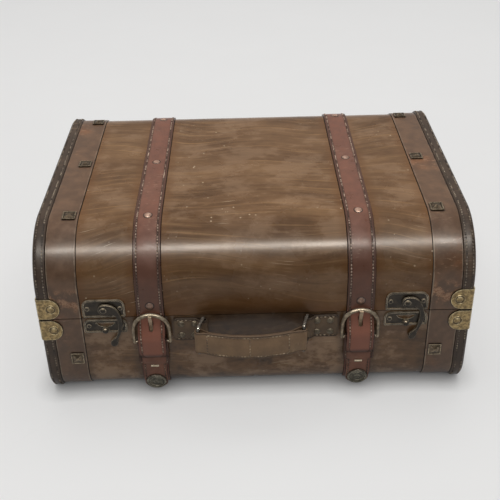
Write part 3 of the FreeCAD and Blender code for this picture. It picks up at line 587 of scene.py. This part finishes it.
def base_strips(half, thickness, centre, front_top, back_top):
    """Leather strips up the front and down the back of the base, ending where it rounds under."""
    out = glue + thickness / 2
    front, back, bend = case_front - out, case_back + out, base_bend + out
    skipped = bend * under_stop
    section = leather_section(half, thickness)
    legs = route([(case_front + base_bend, -out), (front, -out), (front, front_top)], [bend])
    front_strip = strip(*section, reach(legs) - skipped, [cut - skipped for cut in cuts_for(legs)])
    lay(front_strip, legs, half, centre, skipped)
    legs = route([(back, back_top), (back, -out), (case_back - base_bend, -out)], [bend])
    back_strip = strip(*section, reach(legs) - skipped, cuts_for(legs))
    return joined(front_strip, lay(back_strip, legs, half, centre))


band_thickness = 0.0012
band_leather = leather("band leather", tone(124, 95, 73), tone(40, 31, 26), tone(150, 98, 62),
                       wear=0.7, rough=0.34, edge_from=0.975, wax=0.4, rim=0.9, handled=0.8)
for side in ("left", "right"):
    low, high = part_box("lid_band_" + side)
    half, centre = (high.x - low.x) / 2, (high.x + low.x) / 2
    legs = over_lid(glue + band_thickness / 2)
    shape = strip(*leather_section(half, band_thickness), reach(legs), cuts_for(legs))
    made = piece("lid_band_leather_" + side, lay(shape, legs, half, centre), [band_leather])
    fix(made, "lid", "band_leather", "lid_band_" + side)
    shape = base_strips(half, band_thickness, centre, base_rim, base_rim)
    made = piece("base_band_leather_" + side, shape, [band_leather])
    fix(made, "base", "band_leather", "base_band_" + side)


# Leather edging: a dark strip folded over each end of lid and base, onto the end board.
# It is sewn through with two rows of fine stitches.
# Its padding crowns it, but not at the ends, which lie under the brass corners.
stitch_long, stitch_wide, stitch_high = 0.40, 0.0009, 0.0007
stitch_sink = 0.0001


def sew(shape, start, end, pitch, height):
    """A row of stitches between two (x, y) places on a flat strip, sunk by half into its face."""
    start, end = Vector(start), Vector(end)
    count = max(1, int((end - start).length / pitch))
    step = (end - start) / count
    turn = Matrix.Rotation(math.atan2(step.y, step.x), 4, "Z")
    size = Matrix.Diagonal((pitch * stitch_long, stitch_wide, stitch_high, 1))
    stitch = bpy.data.meshes.new("stitch")
    bead = bmesh.new()
    bmesh.ops.create_uvsphere(bead, u_segments=6, v_segments=4, radius=1)
    for face in bead.faces:
        face.material_index = 1
    bead.to_mesh(stitch)
    bead.free()
    for i in range(count):
        middle = start + step * (i + 0.5)
        place = Matrix.Translation((middle.x, middle.y, height)) @ turn @ size
        stitch.transform(place)
        shape.from_mesh(stitch)
        stitch.transform(place.inverted())
    bpy.data.meshes.remove(stitch)


def linen(name, soiled_colour, colour):
    """Waxed thread, soiled in places."""
    thread = Finish(name)
    clean = thread.fade(thread.noise(120.0, detail=3.0), 0.42, 0.62)
    thread.look({"Base Color": thread.mix(clean, soiled_colour, colour), "Roughness": 0.8,
                 "Normal": thread.bump(thread.noise(2500.0), 0.0001, 0.5)})
    return thread


sides = (("left", -1), ("right", 1))
edging_thickness, edging_width = 0.002, 0.013
edging_round, edging_lip = 0.003, 0.0008
edging_pitch, edging_rows = 0.0032, (0.0028, 0.0096)
edging_crown, crown_start, crown_ease = 0.0014, 0.026, 0.014
floor_gap = 0.0004
edging_leather = leather("edging leather", tone(84, 69, 57), tone(36, 29, 25), tone(112, 90, 72),
                         wear=0.7, rough=0.40, edge_from=2.0, wax=0.2)
edging_thread = linen("edging thread", tone(66, 54, 46), tone(158, 142, 122))
for side, sign in sides:
    low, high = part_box("lid_edging_" + side)
    end_x = max(abs(low.x), abs(high.x))
    inner, back = end_x - edging_width, end_x - edging_thickness + glue
    corners = [(inner, glue), (back, glue), (back, -edging_width), (end_x, -edging_width),
               (end_x, edging_thickness)]
    corners += [(inner + edging_width * share, edging_thickness) for share in (0.6, 0.4, 0.2, 0.0)]
    corners = [(sign * x, z) for x, z in corners]
    rounds = [0, 0, 0, edging_lip, edging_round, 0, 0, 0, edging_lip]
    around_base = [(case_back, base_rim), (case_back, 0), (case_front, 0), (case_front, base_rim)]
    for body, legs in (("lid", over_lid(0)), ("base", route(around_base, [base_bend] * 2))):
        length = reach(legs)
        shape = strip(corners, rounds, length, cuts_for(legs))
        for row in edging_rows:
            x = sign * (inner + row)
            sew(shape, (x, 0), (x, length), edging_pitch, edging_thickness)
        for vert in shape.verts:
            near = min(vert.co.y, length - vert.co.y)
            share = (abs(vert.co.x) - inner) / edging_width
            if vert.co.z > 2 * glue:
                clear = min(max((near - crown_start) / crown_ease, 0.0), 1.0)
                vert.co.z += edging_crown * clear * 4 * share * (1 - share)
        lay(shape, legs, end_x)
        if body == "base":
            bmesh.ops.bisect_plane(shape, geom=shape.verts[:] + shape.edges[:] + shape.faces[:],
                                   plane_co=(0, 0, floor_gap), plane_no=(0, 0, -1), clear_outer=True)
        made = piece(body + "_edging_leather_" + side, shape, [edging_leather, edging_thread])
        fix(made, body, "edging_leather", body + "_edging_" + side)


# Studs: square iron caps on the bands, each a low pyramid inside a raised rim.
# They are darkened with age, rubbed bright on their edges, and hold dirt and painted shade in their hollows.

def metal(name, colour, dark, bright, rough, edge, spots, dull, bare=0.4, painted_top_light=0.0):
    """Aged metal, tarnished in spots, bright on edges worn by rubbing and, as a painted highlight, on faces
    turned up, mirroring where it is bare.
    """
    alloy = Finish(name)
    stain = alloy.noise(spots, detail=5.0)
    fine = alloy.noise(spots * 5, detail=3.0)
    normal = alloy.add("NewGeometry", {}, "Normal")
    soft = alloy.add("Bevel", {"Radius": edge}, samples=6)
    facing = alloy.add("VectorMath", {0: soft, 1: normal}, "Value", operation="DOT_PRODUCT")
    edges = alloy.fade(facing, 0.994, 0.93)
    skin = alloy.mix(alloy.fade(stain, 0.40, 0.64, dull, 0.0), colour, dark)
    # Painted highlight: faces turned up are made brighter, as if lit from above.
    if painted_top_light:
        rising = alloy.add("SeparateXYZ", {"Vector": normal}, "Z")
        edges = alloy.calc("MAXIMUM", edges, alloy.fade(rising, 0.15, 0.75, 0.0, painted_top_light))
    skin = alloy.mix(alloy.times(edges, alloy.fade(stain, 0.3, 0.6, 0.3, 0.9)), skin, bright)
    alloy.look({"Base Color": skin, "Metallic": bare,
                "Roughness": alloy.fade(fine, 0.3, 0.7, rough - 0.08, rough + 0.1),
                "Normal": alloy.bump(fine, 0.0001, 0.3)})
    return alloy


stud_iron = metal("stud iron", tone(132, 114, 92), tone(64, 53, 42), tone(214, 196, 164),
                  rough=0.34, edge=0.0009, spots=320.0, dull=0.75, bare=0.55)
# Dirt and painted shade darken the studs' hollows.
hollow_dirt_and_shade = stud_iron.fade(stud_iron.open_share(dirt_and_shade_reach, 8), 0.97, 0.80, 0.0, 0.85)
stud_iron.over(hollow_dirt_and_shade, dirt_and_shade_colour)
coat(stud_iron, "lid_band_studs", "base_band_studs")


# Corners: pressed brass caps nailed over the seam's ends, mottled brown with age, with a painted highlight
# on faces turned up.
# A bead stands round each nail, with dirt caught inside it.
nail_height, nail_inset = 0.0016, 0.015
nail_dirt_radius, nail_dirt_reach, nail_dirt_colour = 0.0041, 0.0008, tone(58, 45, 28)
bead_radius, bead_wire = 0.0052, 0.0006
quarter_turn = math.pi / 2
brass = metal("corner brass", tone(198, 170, 116), tone(104, 84, 52), tone(246, 230, 186),
              rough=0.36, edge=0.0010, spots=260.0, dull=0.8, bare=0.3, painted_top_light=0.7)


def hoop(radius, wire, place):
    """A ring of round wire about its own Z axis, moved to its place."""
    shape = bmesh.new()
    upright = Matrix.Translation((radius, 0, 0)) @ Matrix.Rotation(quarter_turn, 4, "X")
    bmesh.ops.create_circle(shape, segments=10, radius=wire, matrix=upright)
    bmesh.ops.spin(shape, geom=shape.verts[:] + shape.edges[:], cent=(0, 0, 0), axis=(0, 0, 1),
                   angle=2 * math.pi, steps=32, use_merge=True)
    bmesh.ops.recalc_face_normals(shape, faces=shape.faces)
    bmesh.ops.transform(shape, matrix=place, verts=shape.verts)
    return shape


low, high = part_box("lid_corners")
cap_x, cap_y = high.x - nail_height, high.y - nail_height
nail_x, nail_y, nail_rise = cap_x - nail_inset, cap_y - nail_inset, (low.z + high.z) / 2 - seam
for body, height in (("lid", seam + nail_rise), ("base", seam - nail_rise)):
    beads = []
    for x in (-1, 1):
        for y in (-1, 1):
            facing_y = Matrix.Translation((x * nail_x, y * cap_y, height))
            facing_y = facing_y @ Matrix.Rotation(quarter_turn, 4, "X")
            facing_x = Matrix.Translation((x * cap_x, y * nail_y, height))
            facing_x = facing_x @ Matrix.Rotation(quarter_turn, 4, "Y")
            beads += [hoop(bead_radius, bead_wire, facing_y), hoop(bead_radius, bead_wire, facing_x)]
    made = piece(body + "_corner_beads", joined(*beads), [brass])
    fix(made, body, "corner_brass")
aside = brass.calc("SUBTRACT", brass.calc("ABSOLUTE", brass.axis("X")), nail_x)
above = brass.calc("SUBTRACT", brass.apart(brass.axis("Z"), seam), nail_rise)
from_nail = brass.add("CombineXYZ", {"X": aside, "Y": above})
from_nail = brass.add("VectorMath", {0: from_nail}, "Value", operation="LENGTH")
caught = brass.fade(brass.apart(from_nail, nail_dirt_radius), nail_dirt_reach, 0.0003, 0.0, 0.8)
brass.over(caught, nail_dirt_colour)
coat(brass, "lid_corners", "base_corners")


# Straps: one long stitched strap of red brown leather each side, riveted over the lid.
# It folds at the seam and hangs through its buckle, with a slot for the prong.

def end_share(y, length, half, corner):
    """A strip's width near its ends, as a share, when their corners are rounded."""
    near = max(min(y, length - y), 0.0)
    if near >= corner:
        return 1.0
    return (half - corner + math.sqrt(corner ** 2 - (corner - near) ** 2)) / half


def end_cuts(length, corner):
    """Cross cuts that the rounded ends need."""
    near = [corner * (1 - math.cos(math.radians(a))) for a in (15, 30, 45, 60, 75, 90)]
    return near + [length - n for n in near]


def punch(shape, half, start, end):
    """A slot through a flat strip, with rounded corners. Cross cuts stand at its ends."""
    def spot():
        return [f for f in shape.faces if start < f.calc_center_median().y < end and abs(f.normal.z) > 0.5]

    for x in (-half, half):
        around = {e for f in spot() for e in f.edges}
        corners = {v for f in spot() for v in f.verts}
        bmesh.ops.bisect_plane(shape, geom=spot() + list(around) + list(corners), plane_co=(x, 0, 0),
                               plane_no=(1, 0, 0), dist=same_place)
    inside = [f for f in spot() if abs(f.calc_center_median().x) < half]
    bmesh.ops.delete(shape, geom=inside, context="FACES")
    bmesh.ops.bridge_loops(shape, edges=[e for e in shape.edges if e.is_boundary])
    upright = [e for e in shape.edges if (e.verts[0].co - e.verts[1].co).xy.length < same_place
               and abs(abs(e.verts[0].co.x) - half) < same_place
               and min(abs(e.verts[0].co.y - start), abs(e.verts[0].co.y - end)) < touching]
    rounded(shape, upright, half * slot_round)
    bmesh.ops.recalc_face_normals(shape, faces=shape.faces)


strap_thickness, strap_groove, strap_pitch = 0.0022, 0.0030, 0.0034
strap_out, strap_back_foot = glue + strap_thickness / 2, seam + 0.0010
heel = seam - 0.028
tail_end, tail_corner, tail_end_shadow = heel - 0.0175, 0.006, 0.006
tail_way = [(0.0102, tail_end), (0.0127, heel + 0.0070), (0.0032, heel + 0.0250)]
fold_height = seam + 0.0095
tail_bend, fold_bend = 0.020, 0.020
prong_slot, prong_slot_half, slot_round = (0.0325, 0.0445), 0.0022, 0.9
strap_rivet_spots = [(-0.1763, seam + 0.0146), (-0.1223, 0.1917), (0.0, 0.1923), (0.1223, 0.1917),
                     (0.1763, seam + 0.0140)]
strap_leather = leather("strap leather", tone(136, 92, 75), tone(90, 63, 51), tone(146, 106, 88),
                        wear=0.5, rough=0.33, edge_from=0.70, wax=0.2, bare_colour=tone(176, 116, 96),
                        end_shadow=(tail_end, tail_end_shadow), rivets=[(strap_x, y, z) for y, z in strap_rivet_spots])
strap_thread = linen("strap thread", tone(92, 66, 54), tone(198, 170, 148))
front, back, top = case_front - strap_out, case_back + strap_out, lid_top + strap_out
points = [(case_front - out, z) for out, z in tail_way]
points += [(front, fold_height), (front, top), (back, top), (back, strap_back_foot)]
legs = route(points, [tail_bend, tail_bend, fold_bend, lid_bend + strap_out, lid_bend + strap_out])
length = reach(legs)
cuts = cuts_for(legs) + end_cuts(length, tail_corner) + list(prong_slot)
for side, sign in sides:
    shape = strip(*leather_section(strap_half, strap_thickness, strap_groove), length, cuts)
    punch(shape, prong_slot_half, *prong_slot)
    for vert in shape.verts:
        if vert.co.y < length / 2:
            vert.co.x *= end_share(vert.co.y, length, strap_half, tail_corner)
    for x in (strap_groove - strap_half, strap_half - strap_groove):
        sew(shape, (x, tail_corner), (x, length), strap_pitch, strap_thickness / 2 - stitch_sink)
    lay(shape, legs, strap_half, sign * strap_x)
    made = piece("strap_" + side, shape, [strap_leather, strap_thread])
    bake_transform(made)
    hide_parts("lid_strap_" + side, "strap_tail_" + side)


# Base straps: the same leather glued down the front of the base under each buckle, and down its back.
# They end where the base rounds under.
base_strap_top, base_strap_back_top = seam - 0.010, seam - 0.0010
for side, sign in sides:
    shape = base_strips(strap_half, strap_thickness, sign * strap_x, base_strap_top, base_strap_back_top)
    made = piece("base_strap_leather_" + side, shape, [strap_leather])
    fix(made, "base", "strap_leather", "base_strap_" + side)


# Rivets: domed copper heads that hold the straps to lid and base.
# They are tarnished and painted darker as shade near the seam and below it, and dirt and painted shade stay
# round the foot of each.
tarnish_and_shade_from, tarnish_and_shade_full, tarnish_and_shade_colour = seam + 0.030, seam + 0.014, tone(84, 62, 52)
rivet_copper = metal("rivet copper", tone(216, 180, 158), tone(150, 106, 86), tone(242, 220, 202),
                     rough=0.34, edge=0.0005, spots=300.0, dull=0.5, bare=0.3)
# Tarnish and painted shade: rivets near and below the seam are darker.
tarnish_and_shade = rivet_copper.fade(rivet_copper.axis("Z"), tarnish_and_shade_from, tarnish_and_shade_full, 0.0, 0.6)
rivet_copper.over(tarnish_and_shade, tarnish_and_shade_colour)
# Dirt and painted shade round the foot of each rivet's dome.
foot_dirt_and_shade = rivet_copper.fade(rivet_copper.open_share(dirt_and_shade_reach, 8), 0.955, 0.885, 0.0, 0.9)
rivet_copper.over(foot_dirt_and_shade, dirt_and_shade_colour)
coat(rivet_copper, "strap_rivets", "base_strap_rivets")


# Buckles: horseshoe frames bent from round wire, antique plated, rubbed along their ridges and given a
# painted highlight where they face up.
# A flat prong turns on each heel bar.
buckle_metal = metal("buckle metal", tone(158, 142, 118), tone(84, 72, 58), tone(222, 210, 186),
                     rough=0.34, edge=0.0012, spots=240.0, dull=0.7, bare=0.5, painted_top_light=0.8)
prong_metal = metal("prong metal", tone(190, 168, 140), tone(128, 104, 82), tone(222, 208, 182),
                    rough=0.4, edge=0.0006, spots=200.0, dull=0.5)
coat(buckle_metal, *both("buckle_frame"))
coat(prong_metal, *both("buckle_prong"))


# Buckle tabs: tapered leather doubled round each buckle's heel bar and sewn, slotted for the prong's eye.
# A small bar tack stands across the front, above the snap.
tab_thickness, tab_groove, tab_pitch = 0.0015, 0.0024, 0.0036
tab_half_top, tab_half_bottom, tab_corner = 0.016, 0.01225, 0.008
tab_sewn_from, tab_sewn = tab_corner * 0.7, 0.047
tab_shoulder, tab_neck, tab_neck_steps = 0.0365, 0.0035, 6
tab_slot_half, tab_slot_reach, tab_fold_shift = 0.0022, 0.0085, 0.0008
tab_run_step = 0.006
tab_front_way = [(0.0006, 0.0062), (0.00495, 0.025), (0.00495, heel - 0.014), (0.00875, heel - 0.002),
                 (0.00875, heel + 0.00265)]
tab_back_way = [(0.00345, heel + 0.00265), (0.00345, 0.025), (-0.0009, 0.0062)]
tab_bends = [0.030, 0.012, 0.008, 0.0026, 0.0026, 0.030]
tab_end_shadow_drop, tab_end_shadow = 0.0035, 0.0025
tab_leather = leather("tab leather", tone(150, 106, 88), tone(84, 60, 50), tone(166, 124, 102),
                      wear=0.5, rough=0.40, edge_from=0.80, end_shadow=(tail_end - tab_end_shadow_drop, tab_end_shadow))
tab_thread = linen("tab thread", tone(70, 52, 44), tone(150, 124, 104))
tab_face = case_front - 0.0057
tack_height, tack_half, tack_width, tack_rise, tack_round = 0.0385, 0.0042, 0.0022, 0.0008, 0.7
tack_metal = metal("tack metal", tone(214, 200, 174), tone(140, 122, 98), tone(236, 226, 206),
                   rough=0.4, edge=0.0004, spots=300.0, dull=0.5)
legs = route([(case_front - out, z) for out, z in tab_front_way + tab_back_way], tab_bends)
length = reach(legs)
fold = length / 2 + tab_fold_shift
slot = (fold - tab_slot_reach, fold + tab_slot_reach)
cuts = cuts_for(legs, run_step=tab_run_step) + end_cuts(length, tab_corner) + list(slot)
for i in range(tab_neck_steps + 1):
    neck_cut = tab_shoulder - tab_neck * i / tab_neck_steps
    cuts += [neck_cut, length - neck_cut]
for side, sign in sides:
    shape = strip(*leather_section(tab_half_top, tab_thickness, tab_groove), length, cuts)
    punch(shape, tab_slot_half, *slot)
    for x in (tab_groove - tab_half_top, tab_half_top - tab_groove):
        sew(shape, (x, tab_sewn_from), (x, tab_sewn), tab_pitch, tab_thickness / 2 - stitch_sink)
    for vert in shape.verts:
        near = min(vert.co.y, length - vert.co.y)
        flare = min(max((near - tab_shoulder) / tab_neck + 1, 0.0), 1.0) ** 2
        width = tab_half_bottom + (tab_half_top - tab_half_bottom) * flare
        vert.co.x *= width / tab_half_top * end_share(vert.co.y, length, tab_half_bottom, tab_corner)
    lay(shape, legs, tab_half_top, sign * strap_x)
    made = piece("tab_" + side, shape, [tab_leather, tab_thread])
    fix(made, "strap_flap_" + side, "strap_leather", "buckle_tab_" + side)
    middle = Vector((sign * strap_x, tab_face - tack_rise / 2, tack_height))
    size = (2 * tack_half, tack_rise, tack_width)
    bar = bmesh.new()
    bmesh.ops.create_cube(bar, size=1, matrix=Matrix.LocRotScale(middle, None, size))
    outer = [e for e in bar.edges if abs(e.verts[0].co.y - e.verts[1].co.y) < same_place
             and e.verts[0].co.y < middle.y]
    rounded(bar, outer, tack_rise * tack_round)
    fix(piece("tab_tack_" + side, bar, [tack_metal]), "strap_flap_" + side, "buckle_metal")


# Snaps: round pressed caps of dark olive bronze on the tabs, over magnets on the base.
# A raised ring stands on each cap, and faces turned up carry a painted highlight.
snap_bronze = metal("snap bronze", tone(104, 98, 82), tone(50, 47, 39), tone(196, 190, 172),
                    rough=0.38, edge=0.0008, spots=300.0, dull=0.8, bare=0.5, painted_top_light=0.4)
snap_tilt, snap_face = math.radians(13), 0.00025
snap_ring_radius, snap_ring_wire = 0.0071, 0.0006
for side in ("left", "right"):
    low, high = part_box("snap_cap_" + side)
    lean = Matrix.Rotation(quarter_turn + snap_tilt, 4, "X")
    place = Matrix.Translation((low + high) / 2) @ lean @ Matrix.Translation((0, 0, snap_face))
    made = piece("snap_ring_" + side, hoop(snap_ring_radius, snap_ring_wire, place), [snap_bronze])
    fix(made, "strap_flap_" + side, "buckle_metal")
coat(snap_bronze, "snap_studs", *both("snap_cap"))


# Clasps: pressed plates on the lid, hooks that swing on rivets, and keeps with a lug on the base.
# All are dark bronze with their rims rubbed pale and a painted highlight on faces turned up, and screwed to
# the wood.
clasp_bronze = metal("clasp bronze", tone(58, 50, 40), tone(30, 26, 21), tone(206, 190, 164),
                     rough=0.36, edge=0.0010, spots=190.0, dull=0.8, bare=0.5, painted_top_light=0.8)
coat(clasp_bronze, "clasp_rivets", "clasp_plate_screws", "clasp_keep_screws",
     *both("clasp_plate", "clasp_keep", "clasp_hook"))


# Handle tabs: leather doubled round each ring, sewn along its edges.
# Dull metal rivets hold them flat to the base's front.
handle_x, handle_height = 0.054, seam - 0.016
handle_half, handle_thickness, handle_corner = 0.014, 0.0016, 0.003
handle_groove, handle_pitch, handle_tab_sewn = 0.0024, 0.0036, 0.024
handle_turn_step = 0.2
on_edge = Matrix(((0, 1, 0, 0), (0, 0, 1, 0), (1, 0, 0, handle_height), (0, 0, 0, 1)))
handle_tab_way = [(0.032, 0.0025), (0.0080, 0.0025), (0.0026, 0.0068), (-0.0030, 0.0068), (-0.0030, 0.0009),
                  (0.032, 0.0009)]
handle_tab_bends = [0.004, 0.0025, 0.0029, 0.0029]
ring_neck, neck_flat, neck_ease = 0.07, 0.005, 0.007


def stood(shape):
    """Stands a strip on edge at the handle's height, drawn in a little so that the rings swing."""
    bmesh.ops.transform(shape, matrix=on_edge, verts=shape.verts)
    for vert in shape.verts:
        near = 1 - (abs(abs(vert.co.x) - handle_x) - neck_flat) / neck_ease
        share = 1 - ring_neck * min(max(near, 0.0), 1.0)
        vert.co.z = handle_height + (vert.co.z - handle_height) * share


handle_leather = leather("handle leather", tone(122, 102, 82), tone(66, 53, 42), tone(142, 120, 96),
                         wear=0.5, rough=0.42, edge_from=0.84)
handle_thread = linen("handle thread", tone(116, 96, 76), tone(206, 182, 150))
handle_section = leather_section(handle_half, handle_thickness, handle_groove)
handle_row, handle_stitch = handle_half - handle_groove, handle_thickness / 2 - stitch_sink
legs = route([(handle_x + x, case_front - out) for x, out in handle_tab_way], handle_tab_bends)
length = reach(legs)
cuts = cuts_for(legs, handle_turn_step) + end_cuts(length, handle_corner)
for side, sign in sides:
    shape = strip(*handle_section, length, cuts)
    for x in (-handle_row, handle_row):
        sew(shape, (x, handle_corner), (x, handle_tab_sewn), handle_pitch, handle_stitch)
    for vert in shape.verts:
        vert.co.x *= end_share(vert.co.y, length, handle_half, handle_corner)
    lay(shape, legs, handle_half)
    stood(shape)
    if sign < 0:
        bmesh.ops.scale(shape, vec=(-1, 1, 1), verts=shape.verts)
        bmesh.ops.reverse_faces(shape, faces=shape.faces)
    made = piece("handle_tab_leather_" + side, shape, [handle_leather, handle_thread])
    fix(made, "base", "handle_leather", "handle_tab_" + side)
handle_rivet_metal = metal("handle rivet metal", tone(118, 107, 88), tone(66, 58, 47), tone(180, 168, 144),
                           rough=0.48, edge=0.0004, spots=300.0, dull=0.7)
coat(handle_rivet_metal, "handle_rivets")


# Handle rings: rounded rectangles of steel wire that swing in the handle's tabs.
# They are polished by use where the leather runs on them, and faces turned up carry a painted highlight.
ring_steel = metal("ring steel", tone(104, 98, 90), tone(52, 48, 43), tone(236, 230, 218),
                   rough=0.22, edge=0.001, spots=140.0, dull=0.7, bare=0.7, painted_top_light=0.5)
coat(ring_steel, *both("handle_ring"))


# Handle grip: one belt of grey brown leather round both rings, its ends meeting in the middle of the front.
# It is sewn along its edges and across beside the rings, and bows out a little for the hand.
grip_out, grip_shift = 0.02403, -0.00544
grip_bow, grip_bow_reach = 0.009, 0.050
grip_way = [(0, 0.0030), (-0.0570, 0.0030), (-0.0570, -0.0030), (-0.050, -0.0030), (-0.042, 0.0013),
            (0.042, 0.0013), (0.050, -0.0030), (0.0570, -0.0030), (0.0570, 0.0030), (0, 0.0030)]
grip_bends = [0.0029, 0.0029, 0.005, 0.008, 0.008, 0.005, 0.0029, 0.0029]
grip_sewn_left, grip_sewn_right, grip_sewn_from = 0.045, 0.039, 0.001
grip_joint, grip_run_step = 0.0012, 0.006
grip_leather = leather("grip leather", tone(164, 134, 104), tone(96, 76, 58), tone(180, 150, 118),
                       wear=0.5, rough=0.42, edge_from=0.86, corner_dirt_and_shade=0.35)
legs = route([(x, case_front - grip_out - out) for x, out in grip_way], grip_bends)
length = reach(legs)
shape = strip(*handle_section, length, cuts_for(legs, handle_turn_step, grip_run_step))
right_row = length - grip_sewn_right
for start, end, across in ((grip_sewn_from, grip_sewn_left, grip_sewn_left),
                           (right_row, length - grip_sewn_from, right_row)):
    for x in (-handle_row, handle_row):
        sew(shape, (x, start), (x, end), handle_pitch, handle_stitch)
    sew(shape, (-handle_row, across), (handle_row, across), handle_pitch, handle_thickness / 2)
sew(shape, (-handle_row, grip_joint), (handle_row, grip_joint), handle_pitch, handle_thickness / 2)
lay(shape, legs, handle_half)
stood(shape)
for vert in shape.verts:
    share = min(abs(vert.co.x) / grip_bow_reach, 1.0)
    vert.co.y -= grip_bow * (1 - share ** 2)
    vert.co.x += grip_shift
made = piece("grip", shape, [grip_leather, handle_thread])
fix(made, "handle_grip", "handle_leather", "handle_grip")


# Hinges: pressed steel leaves on pins across the back, screwed to lid and base.
# They were brassed once and are dull now.
hinge_metal = metal("hinge metal", tone(140, 122, 92), tone(70, 58, 44), tone(196, 180, 146),
                    rough=0.4, edge=0.0007, spots=180.0, dull=0.7)
coat(hinge_metal, "hinge_lid_leaves", "hinge_base_leaves", "hinge_pins", "hinge_lid_screws",
     "hinge_base_screws")
